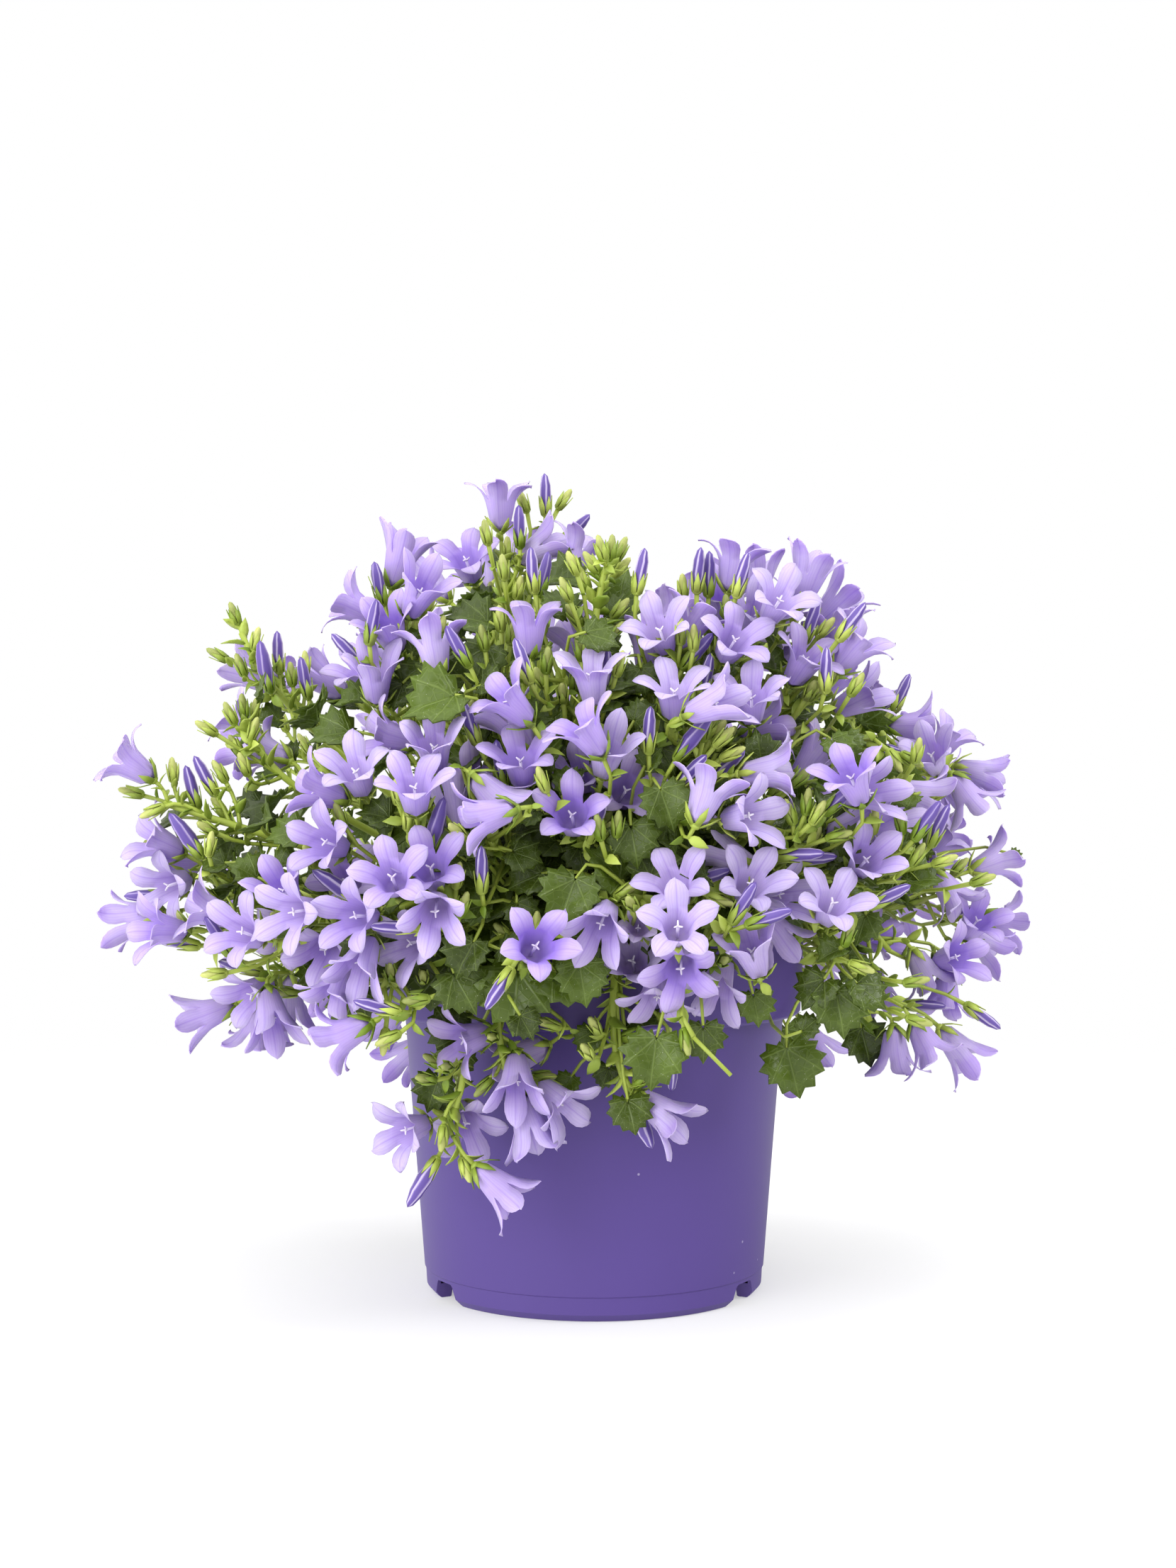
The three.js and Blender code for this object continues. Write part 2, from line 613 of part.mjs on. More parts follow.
// The deepest that any of the balls goes into the pot or into what another stem has placed
function deepest(balls, owner) {
  let worst = 0;
  for (const ball of balls) {
    worst = Math.max(worst, inPot(ball));
    const [x, y, z] = ball.at.toArray().map((value) => Math.floor(value / CELL));
    for (let i = 0; i < 27; i++) {
      const key = cellKey(x + (i % 3) - 1, y + (Math.floor(i / 3) % 3) - 1, z + Math.floor(i / 9) - 1);
      for (const other of placed.get(key) ?? []) {
        const own = other.owner === owner;
        if (own && ball.kind === 'stalk' && other.kind === 'stem') continue;
        const bothHeads = ball.kind === 'head' && other.kind === 'head';
        const room = own ? (bothHeads ? -OWN_OVERLAP : -STALK_OVERLAP) : CLEARANCE;
        worst = Math.max(worst, ball.radius + other.radius + room - ball.at.distanceTo(other.at));
      }
    }
  }
  return worst;
}

function ballsAlong(from, to, radius, step, skip, kind) {
  const length = from.distanceTo(to);
  const balls = [];
  for (let s = skip; s <= length; s += step) {
    balls.push({ at: between(from, to, s / length), radius, kind });
  }
  return balls;
}

// The crown of roots: each stem starts on the side of its head, and the roots push each other apart
function placeRoots(stems) {
  for (const stem of stems) {
    const reach = stem.tip.clone().sub(CROWN);
    const fall = Math.atan2(Math.hypot(reach.x, reach.y), reach.z) / Math.PI;
    const out = ROOT_CIRCLE * Math.min(1, ROOT_NEAR + fall * ROOT_FAN);
    const level = Math.hypot(reach.x, reach.y) || 1;
    stem.root = vec(reach.x / level * out, reach.y / level * out, SOIL_TOP);
  }
  for (let turn = 0; turn < ROOT_TURNS; turn++) {
    for (let i = 0; i < stems.length; i++) {
      for (let j = 0; j < i; j++) {
        const [a, b] = [stems[i].root, stems[j].root];
        const gap = a.distanceTo(b);
        if (gap >= ROOT_SPACING || gap === 0) continue;
        const push = unit(b, a).multiplyScalar((ROOT_SPACING - gap) / 2);
        a.add(push);
        b.sub(push);
      }
    }
    for (const { root } of stems) {
      const out = Math.hypot(root.x, root.y);
      if (out > ROOT_CIRCLE) root.multiply(vec(ROOT_CIRCLE / out, ROOT_CIRCLE / out, 1));
    }
  }
}

function bezier(controls, t) {
  let points = controls;
  while (points.length > 1) points = points.slice(1).map((point, i) => between(points[i], point, t));
  return points[0];
}

// A stem rises from its root and leans out to its head. A low head is reached over the rim
function stemLine(stem, lift, swing) {
  const { root, tip, via } = stem;
  const level = vec(tip.x, tip.y, 0);
  const outward = level.clone().normalize();
  const sideways = vec(-outward.y, outward.x, 0);
  const far = tip.distanceTo(root);
  const drop = Math.max(0, LOW_HEAD - tip.z);
  const height = Math.min(RISE_MOST, far * RISE_SHARE) + drop * RISE_FOR_DROP + lift;
  const rise = along(root, UP, height).addScaledVector(sideways, swing);
  const reach = Math.max(0, level.length() - Math.hypot(root.x, root.y));
  const bow = drop * LEAN_FOR_DROP + lift - (drop ? 0 : far * LEAN_SAG);
  const lean = along(tip, outward, -LEAN_BACK * reach).add(vec(0, 0, bow));
  lean.addScaledVector(sideways, swing);
  const controls = via.length ? [root, rise, ...via, tip] : [root, rise, lean, tip];
  const line = [vec(root.x, root.y, SOIL_TOP - HOLE_DEPTH + 0.5)];
  const spans = via.length ? STEM_SPANS + 2 : STEM_SPANS;
  for (let i = 0; i <= spans; i++) line.push(bezier(controls, i / spans));
  return line;
}

const lineBalls = (line) =>
  line.slice(1).flatMap((point, i) => ballsAlong(line[i], point, STEM_BALL, 2 * STEM_BALL, 0, 'stem'));

function placeStem(stem, owner) {
  let best = { worst: Infinity };
  for (const lift of LIFTS) {
    for (const swing of SWINGS) {
      const line = stemLine(stem, lift, swing);
      const worst = deepest(lineBalls(line), owner);
      if (worst < best.worst) best = { worst, line };
      if (worst <= 0) break;
    }
    if (best.worst <= 0) break;
  }
  stem.line = best.line;
  remember(lineBalls(stem.line), owner);
}

// Where on its stem an item's stalk may start, best first: near, and leaving the stem forwards
function stalkStarts(stem, foot, direction) {
  const starts = [];
  for (let i = 2; i < stem.line.length; i++) {
    const run = unit(stem.line[i - 1], stem.line[i]);
    const length = stem.line[i - 1].distanceTo(stem.line[i]);
    for (let s = START_MARGIN; s < length; s += START_STEP) {
      const at = between(stem.line[i - 1], stem.line[i], s / length);
      if (stem.starts.some((taken) => taken.distanceTo(at) < START_SPACING)) continue;
      const stalk = unit(at, foot);
      const turns = STEM_TURN_COST * (1 - stalk.dot(run)) + ITEM_TURN_COST * (1 - stalk.dot(direction));
      starts.push({ at, cost: at.distanceTo(foot) + turns });
    }
  }
  return starts.sort((a, b) => a.cost - b.cost).slice(0, START_TRIES);
}

// The frame of an item: its own axis last
function frameOf(direction, roll) {
  const [across, upward] = squareTo(direction);
  const turn = radians(roll);
  const first = across.clone().multiplyScalar(Math.cos(turn)).addScaledVector(upward, Math.sin(turn));
  return [first, direction.clone().cross(first), direction];
}

const inFrame = ([first, second, third], foot, x, y, z) =>
  along(along(along(foot, first, x), second, y), third, z);

// A stalk that must turn sharply to its bloom bends at a knee just before it
function stalkPath(start, foot, direction) {
  if (unit(start, foot).dot(direction) > KNEE_TURN) return [start, foot];
  return [start, along(foot, direction, -KNEE), foot];
}

const stalkBalls = (path) => path.slice(1).flatMap((point, i) =>
  ballsAlong(path[i], point, STALK_BALL, 2.5, i ? 0 : 3.5, 'stalk'));

function bloomBalls(foot, frame, scale) {
  const balls = TUBE_BALLS.map(([height, radius]) =>
    ({ at: inFrame(frame, foot, 0, 0, height * scale), radius: radius * scale, kind: 'head' }));
  for (let i = 0; i < 5; i++) {
    const turn = i * 2 * Math.PI / 5;
    for (const [out, height, radius] of LOBE_BALLS) {
      const [x, y] = [Math.cos(turn) * out * scale, Math.sin(turn) * out * scale];
      const at = inFrame(frame, foot, x, y, height * scale);
      balls.push({ at, radius: radius * scale, kind: 'head' });
    }
  }
  return balls;
}

// A leaf's frame: towards its tip, across, and out of its upper face
function leafFrame({ direction, face }) {
  const across = face.clone().cross(direction).normalize();
  return [direction, across, direction.clone().cross(across)];
}

function leafBalls(middle, frame, size) {
  const balls = [{ at: middle, radius: LEAF_BALL, kind: 'head' }];
  const out = size * LEAF_BALL_SHARE;
  for (let i = 0; i < LEAF_BALL_COUNT; i++) {
    const turn = i * 2 * Math.PI / LEAF_BALL_COUNT;
    const at = inFrame(frame, middle, Math.cos(turn) * out, Math.sin(turn) * out, 0);
    balls.push({ at, radius: LEAF_BALL, kind: 'head' });
  }
  return balls;
}

// The item's foot, where its stalk ends, and the balls of all but the stalk
function poseItem(item, offset) {
  const point = along(item.point, item.shift, offset);
  if (item.kind === 'bloom') {
    const frame = frameOf(item.direction, item.roll);
    const foot = along(point, item.direction, -TUBE_LENGTH * item.scale);
    return { foot, frame, balls: bloomBalls(foot, frame, item.scale) };
  }
  if (item.kind === 'bud') {
    const frame = frameOf(item.direction, item.roll);
    const end = along(point, item.direction, BUD_LENGTHS[item.stage]);
    return { foot: point, frame, balls: ballsAlong(point, end, BUD_RADII[item.stage] + 0.3, 2.5, 1, 'head') };
  }
  const frame = leafFrame(item);
  const foot = along(point, item.direction, -item.size * LEAF_BASE);
  return { foot, middle: point, frame, balls: leafBalls(point, frame, item.size) };
}

// Tries nearer and farther places, other starts for the stalk and small moves aside, until an item is clear
function placeItem(item, stem, owner) {
  const [across, upward] = squareTo(item.shift);
  let best = { worst: Infinity };
  for (const [right, up] of NUDGES) {
    const moved = along(along(item.point, across, right), upward, up);
    for (const offset of OFFSETS[item.kind]) {
      const pose = poseItem({ ...item, point: moved, roll: item.roll + 36 * Math.sign(right) }, offset);
      for (const start of stalkStarts(stem, pose.foot, item.direction)) {
        const balls = [...pose.balls, ...stalkBalls(stalkPath(start.at, pose.foot, item.direction))];
        const worst = deepest(balls, owner);
        if (worst < best.worst) best = { worst, pose, start, balls };
        if (best.worst <= 0) break;
      }
      if (best.worst <= 0) break;
    }
    if (best.worst <= 0) break;
  }
  if (item.kind !== 'bloom' && best.worst > DROP_LIMIT) return;
  remember(best.balls, owner);
  stem.starts.push(best.start.at);
  stem.placed.push({ ...item, ...best.pose, start: best.start.at });
}

// The whole plant: stems first, then blooms, buds and leaves
function planPlant() {
  const random = makeRandom(SEED);
  const stems = [...FRONT_STEMS.map((stem) => planFrontStem(stem, random)), ...planBackStems(random)];
  for (const stem of stems) {
    const feet = stem.items.filter(({ kind }) => kind !== 'leaf').map((item) => poseItem(item, 0).foot);
    const mean = feet.reduce((sum, foot) => sum.add(foot), vec(0, 0, 0)).divideScalar(feet.length);
    stem.tip = stem.head ?? along(mean, unit(mean, CROWN), TIP_SETBACK);
    stem.placed = [];
    stem.starts = [];
  }
  placeRoots(stems);
  stems.forEach(placeStem);
  for (const kind of ['bloom', 'bud', 'leaf']) {
    stems.forEach((stem, owner) => {
      for (const item of stem.items) {
        if (item.kind === kind) placeItem(item, stem, owner);
      }
    });
  }
  return stems;
}

// A closed mesh from corners and faces that turn anticlockwise seen from outside
function facetedSolid(corners, faces) {
  const geometry = new THREE.BufferGeometry();
  const values = corners.flatMap((corner) => corner.toArray());
  geometry.setAttribute('position', new THREE.Float32BufferAttribute(values, 3));
  geometry.setIndex(faces.flat());
  return geometry;
}

// Adds the triangles between two rings of corners, which may have different counts
function bridge(faces, lower, upper) {
  let [i, j] = [0, 0];
  const [m, n] = [lower.length, upper.length];
  while (i < m || j < n) {
    const takeLower = n === 1 || (m > 1 && j < n ? (i + 1) / m <= (j + 1) / n && i < m : true);
    if (takeLower && i < m) {
      faces.push([lower[i % m], lower[(i + 1) % m], upper[j % n]]);
      i++;
    } else {
      faces.push([lower[i % m], upper[(j + 1) % n], upper[j % n]]);
      j++;
    }
    if (n === 1 && i >= m) break;
    if (m === 1 && j >= n) break;
  }
}

// A ring of corners round a point of an axis
function ringOf(corners, frame, foot, height, radius, count) {
  const ring = [];
  for (let i = 0; i < count; i++) {
    const turn = i * 2 * Math.PI / count;
    ring.push(corners.length);
    corners.push(inFrame(frame, foot, Math.cos(turn) * radius, Math.sin(turn) * radius, height));
  }
  return ring;
}

// Closes a three-cornered ring at the start or at the end
const capLower = (faces, [a, b, c]) => faces.push([a, c, b]);
const capUpper = (faces, [a, b, c]) => faces.push([a, b, c]);

function stemGeometry(line) {
  const [corners, faces] = [[], []];
  let last;
  let frame = [vec(1, 0, 0), vec(0, 1, 0), UP];
  line.forEach((point, i) => {
    const run = unit(line[Math.max(i - 1, 0)], line[Math.min(i + 1, line.length - 1)]);
    const first = frame[0].clone().addScaledVector(run, -frame[0].dot(run)).normalize();
    frame = [first, run.clone().cross(first), run];
    const radius = THREE.MathUtils.lerp(STEM_FOOT_RADIUS, STEM_TIP_RADIUS, i / (line.length - 1));
    const ring = ringOf(corners, frame, point, 0, radius, 3);
    if (last) bridge(faces, last, ring);
    else capLower(faces, ring);
    last = ring;
  });
  capUpper(faces, last);
  return facetedSolid(corners, faces);
}

// The same frame turned onto another axis without twist
function carried([first, , axis], run) {
  const turned = first.clone().applyQuaternion(new THREE.Quaternion().setFromUnitVectors(axis, run));
  return [turned, run.clone().cross(turned), run];
}

// Starts a solid with its stalk, from a thin start inside the stem to the knee if there is one. The frame
// is that of the ring the stalk ends at
function addStalk(corners, faces, { start, foot, direction }, frame) {
  const path = stalkPath(start, foot, direction);
  const run = unit(path[0], path[1]);
  const ring = ringOf(corners, carried(frame, run), start, 0, PEDICEL_START_RADIUS, 3);
  capLower(faces, ring);
  if (path.length === 2) return ring;
  const bend = run.clone().add(direction).normalize();
  const knee = ringOf(corners, carried(frame, bend), path[1], 0, PEDICEL_RADIUS, 3);
  bridge(faces, ring, knee);
  return knee;
}

function bloomGeometry(item) {
  const { foot, frame, scale } = item;
  const [corners, faces] = [[], []];
  const stalk = addStalk(corners, faces, item, frame);
  const calyx = ringOf(corners, frame, foot, 0, CALYX_RADIUS * scale, 3);
  const turned = [vec(0, 0, 0), vec(0, 0, 0), frame[2]];
  const half = Math.PI / 5;
  turned[0].addScaledVector(frame[0], Math.cos(half)).addScaledVector(frame[1], -Math.sin(half));
  turned[1].addScaledVector(frame[1], Math.cos(half)).addScaledVector(frame[0], Math.sin(half));
  const mouth = ringOf(corners, turned, foot, TUBE_LENGTH * scale, MOUTH_RADIUS * scale, 5);
  const tips = ringOf(corners, frame, foot, LOBE_TIP_HEIGHT * scale, LOBE_REACH * scale, 5);
  const throat = corners.push(inFrame(frame, foot, 0, 0, THROAT_HEIGHT * scale)) - 1;
  bridge(faces, stalk, calyx);
  bridge(faces, calyx, mouth);
  for (let i = 0; i < 5; i++) {
    const next = mouth[(i + 1) % 5];
    faces.push([mouth[i], next, tips[i]], [mouth[i], tips[i], throat], [tips[i], next, throat]);
  }
  return facetedSolid(corners, faces);
}

function budGeometry(item) {
  const { foot, frame, stage } = item;
  const [corners, faces] = [[], []];
  const length = BUD_LENGTHS[stage];
  const stalk = addStalk(corners, faces, item, frame);
  const belly = ringOf(corners, frame, foot, length * 0.35, BUD_RADII[stage] * 1.25, 3);
  bridge(faces, stalk, belly);
  bridge(faces, belly, ringOf(corners, frame, foot, length, 0, 1));
  return facetedSolid(corners, faces);
}

// A thin blade with two corners of its stalk's ring in its edge and the third below
function leafGeometry(item) {
  const { foot, middle, frame, size } = item;
  const [corners, faces] = [[], []];
  const [forwards, across, face] = frame;
  const ringFrame = [face.clone().negate(), across, forwards];
  const stalk = addStalk(corners, faces, item, ringFrame);
  const [low, left, right] = ringOf(corners, ringFrame, foot, 0, PEDICEL_RADIUS, 3);
  bridge(faces, stalk, [low, left, right]);
  const edgeCorner = ([angle, share]) => {
    const [x, y] = [Math.cos(radians(angle)) * share * size, Math.sin(radians(angle)) * share * size];
    return corners.push(inFrame(frame, middle, x, y, Math.abs(y) * LEAF_CUP)) - 1;
  };
  const near = LEAF_OUTLINE.map(edgeCorner);
  const far = LEAF_OUTLINE.slice(1).reverse().map(([angle, share]) => edgeCorner([-angle, share]));
  const above = corners.push(along(middle, face, LEAF_HALF_THICKNESS)) - 1;
  const below = corners.push(along(middle, face, -LEAF_HALF_THICKNESS)) - 1;
  bridge(faces, [...near, left, right, ...far], [above]);
  bridge(faces, [...near, left, low, right, ...far].reverse(), [below]);
  return facetedSolid(corners, faces);
}

// Geometry to a solid for joining and cutting, and back
function toSolid(geometry) {
  const bare = geometry.clone();
  bare.deleteAttribute('normal');
  bare.deleteAttribute('uv');
  const merged = mergeVertices(bare, 1e-4);
  return new wasm.Manifold(new wasm.Mesh({
    numProp: 3,
    vertProperties: new Float32Array(merged.attributes.position.array),
    triVerts: new Uint32Array(merged.index.array),
  }));
}

function toGeometry(solid) {
  const { vertProperties, triVerts } = solid.getMesh();
  const geometry = new THREE.BufferGeometry();
  geometry.setAttribute('position', new THREE.BufferAttribute(new Float32Array(vertProperties), 3));
  geometry.setIndex(new THREE.BufferAttribute(new Uint32Array(triVerts), 1));
  return geometry;
}

function leafyStem(stem) {
  const solids = [toSolid(stemGeometry(stem.line))];
  for (const item of stem.placed) {
    if (item.kind === 'bloom') solids.push(toSolid(bloomGeometry(item)));
    if (item.kind === 'bud') solids.push(toSolid(budGeometry(item)));
    if (item.kind === 'leaf') solids.push(toSolid(leafGeometry(item)));
  }
  return toGeometry(wasm.Manifold.union(solids));
}

function potProfile() {
  const inner = LEDGE_RADIUS - POT_WALL;
  const collarFoot = COLLAR_RADIUS - COLLAR_TAPER;
  const baseTop = BASE_UNDERSIDE + BASE_THICKNESS;
  return [
    [0, BASE_UNDERSIDE],
    [FOOT_RADIUS - FOOT_RING_WIDTH, BASE_UNDERSIDE],
    [FOOT_RADIUS - FOOT_RING_WIDTH, 0],
    [FOOT_RADIUS, 0],
    [BODY_FOOT_RADIUS - 0.3, FOOT_ROUND],
    [BODY_FOOT_RADIUS, PARTING_LINE_HEIGHT - PARTING_LINE_STEP],
    [BODY_FOOT_RADIUS + PARTING_LINE_STEP, PARTING_LINE_HEIGHT],
    [LEDGE_RADIUS, COLLAR_BOTTOM],
    [collarFoot - LIP_ROUND, COLLAR_BOTTOM],
    [collarFoot, COLLAR_BOTTOM + LIP_ROUND],
    [COLLAR_RADIUS, POT_HEIGHT - LIP_ROUND],
    [COLLAR_RADIUS - LIP_ROUND / 2, POT_HEIGHT],
    [COLLAR_RADIUS - POT_WALL, POT_HEIGHT],
    [collarFoot - POT_WALL, COLLAR_BOTTOM + POT_WALL],
    [inner, COLLAR_BOTTOM],
    [BODY_FOOT_RADIUS - POT_WALL, baseTop],
    [0, baseTop],
  ].map(([radius, height]) => new THREE.Vector2(radius, height));
}

// A lathe about +Y stood up so that its axis is +Z
const lathe = (profile, sides) => new THREE.LatheGeometry(profile, sides).rotateX(Math.PI / 2);

function drainNotch(index) {
  const shape = new THREE.Shape([
    new THREE.Vector2(-NOTCH_BOTTOM_WIDTH / 2, -1),
    new THREE.Vector2(NOTCH_BOTTOM_WIDTH / 2, -1),
    new THREE.Vector2(NOTCH_TOP_WIDTH / 2, NOTCH_HEIGHT),
    new THREE.Vector2(-NOTCH_TOP_WIDTH / 2, NOTCH_HEIGHT),
  ]);
  const prism = new THREE.ExtrudeGeometry(shape, { depth: NOTCH_DEPTH, bevelEnabled: false });
  prism.rotateX(Math.PI / 2).translate(0, -NOTCH_INNER_RADIUS, 0);
  return toSolid(prism.rotateZ(Math.PI + index * 2 * Math.PI / NOTCH_COUNT));
}

function potGeometry() {
  let pot = toSolid(lathe(potProfile(), POT_SIDES));
  for (let i = 0; i < NOTCH_COUNT; i++) pot = pot.subtract(drainNotch(i));
  return toGeometry(pot);
}

function soilGeometry(stems) {
  const inset = Math.cos(Math.PI / POT_SIDES);
  const fit = (radius) => radius * inset - SOIL_GAP;
  const bottom = BASE_UNDERSIDE + BASE_THICKNESS + SOIL_GAP;
  const profile = [
    [0, bottom],
    [fit(BODY_FOOT_RADIUS - POT_WALL), bottom],
    [fit(LEDGE_RADIUS - POT_WALL), COLLAR_BOTTOM + SOIL_GAP],
    [fit(COLLAR_RADIUS - COLLAR_TAPER - POT_WALL), COLLAR_BOTTOM + POT_WALL + SOIL_GAP + 0.3],
    [fit(COLLAR_RADIUS - COLLAR_TAPER - POT_WALL), SOIL_TOP - SOIL_SHOULDER_DROP],
    [SOIL_SHOULDER_RADIUS, SOIL_TOP],
    [0, SOIL_TOP],
  ].map(([radius, height]) => new THREE.Vector2(radius, height));
  const holes = stems.map(({ root }) => {
    const hole = new THREE.CylinderGeometry(HOLE_RADIUS, HOLE_RADIUS, 2 * HOLE_DEPTH, 3);
    return toSolid(hole.rotateX(Math.PI / 2).translate(root.x, root.y, SOIL_TOP));
  });
  return toGeometry(toSolid(lathe(profile, SOIL_SIDES)).subtract(wasm.Manifold.union(holes)));
}

const POT_LOOK = { color: 0x66559e, roughness: 0.42 };
const SOIL_LOOK = { color: 0x2b1f18, roughness: 0.95 };
const PLANT_LOOK = { color: 0x8f86c8, roughness: 0.6 };

function addMesh(group, name, geometry, look) {
  const mesh = new THREE.Mesh(geometry, new THREE.MeshStandardMaterial(look));
  mesh.name = name;
  group.add(mesh);
}

const group = new THREE.Group();
const stems = planPlant();
addMesh(group, 'pot', potGeometry(), POT_LOOK);
addMesh(group, 'soil', soilGeometry(stems), SOIL_LOOK);
for (const stem of stems) addMesh(group, stem.name, leafyStem(stem), PLANT_LOOK);

export default group;
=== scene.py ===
"""A dalmatian bellflower in a purple nursery pot, in front of a plain pale studio floor.

The solids hold every stem, leaf, bud and bloom in a plain shape. This script works out the same plan of the
plant and gives each one its finer shape and its finish. Lengths are in millimetres up to the meshes.
"""
import itertools
import math

import bmesh
import bpy
import numpy as np
from mathutils import Matrix, Vector, noise
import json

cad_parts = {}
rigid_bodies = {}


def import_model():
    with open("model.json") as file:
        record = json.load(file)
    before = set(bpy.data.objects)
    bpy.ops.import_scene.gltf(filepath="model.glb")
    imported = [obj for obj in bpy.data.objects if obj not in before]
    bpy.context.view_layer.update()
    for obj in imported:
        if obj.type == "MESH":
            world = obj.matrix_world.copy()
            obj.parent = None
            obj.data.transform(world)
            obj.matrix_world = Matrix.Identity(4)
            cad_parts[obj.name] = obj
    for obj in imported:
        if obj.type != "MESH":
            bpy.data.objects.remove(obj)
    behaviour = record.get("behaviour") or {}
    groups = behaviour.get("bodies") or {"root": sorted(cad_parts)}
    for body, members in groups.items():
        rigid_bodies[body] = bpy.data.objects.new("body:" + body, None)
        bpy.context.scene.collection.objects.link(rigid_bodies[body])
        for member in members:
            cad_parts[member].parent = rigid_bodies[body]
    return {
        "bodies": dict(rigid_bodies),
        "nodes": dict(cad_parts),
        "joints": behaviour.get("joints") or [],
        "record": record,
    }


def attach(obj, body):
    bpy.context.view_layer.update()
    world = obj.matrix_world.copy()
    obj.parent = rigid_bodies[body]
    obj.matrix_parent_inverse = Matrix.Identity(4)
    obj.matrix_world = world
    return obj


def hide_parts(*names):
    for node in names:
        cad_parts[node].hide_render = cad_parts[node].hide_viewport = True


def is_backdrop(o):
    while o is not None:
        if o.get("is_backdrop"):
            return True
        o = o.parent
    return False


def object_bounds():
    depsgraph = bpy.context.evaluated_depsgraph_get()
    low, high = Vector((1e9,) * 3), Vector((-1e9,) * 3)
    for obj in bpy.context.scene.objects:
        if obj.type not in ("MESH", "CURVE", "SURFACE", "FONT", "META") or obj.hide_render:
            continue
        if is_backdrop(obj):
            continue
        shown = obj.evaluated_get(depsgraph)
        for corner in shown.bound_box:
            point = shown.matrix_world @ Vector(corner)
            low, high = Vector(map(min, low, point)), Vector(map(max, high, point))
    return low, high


bl_info = {
    "name": "Potted Dalmatian Bellflower",
    "version": (1, 0, 0),
    "blender": (4, 5, 0),
    "location": "View3D > Sidebar > Bellflower",
    "description": "Builds a dalmatian bellflower in its nursery pot, and the stage it stands on",
    "category": "Add Mesh",
}

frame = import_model()
CAD_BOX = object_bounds()
MM = 0.001

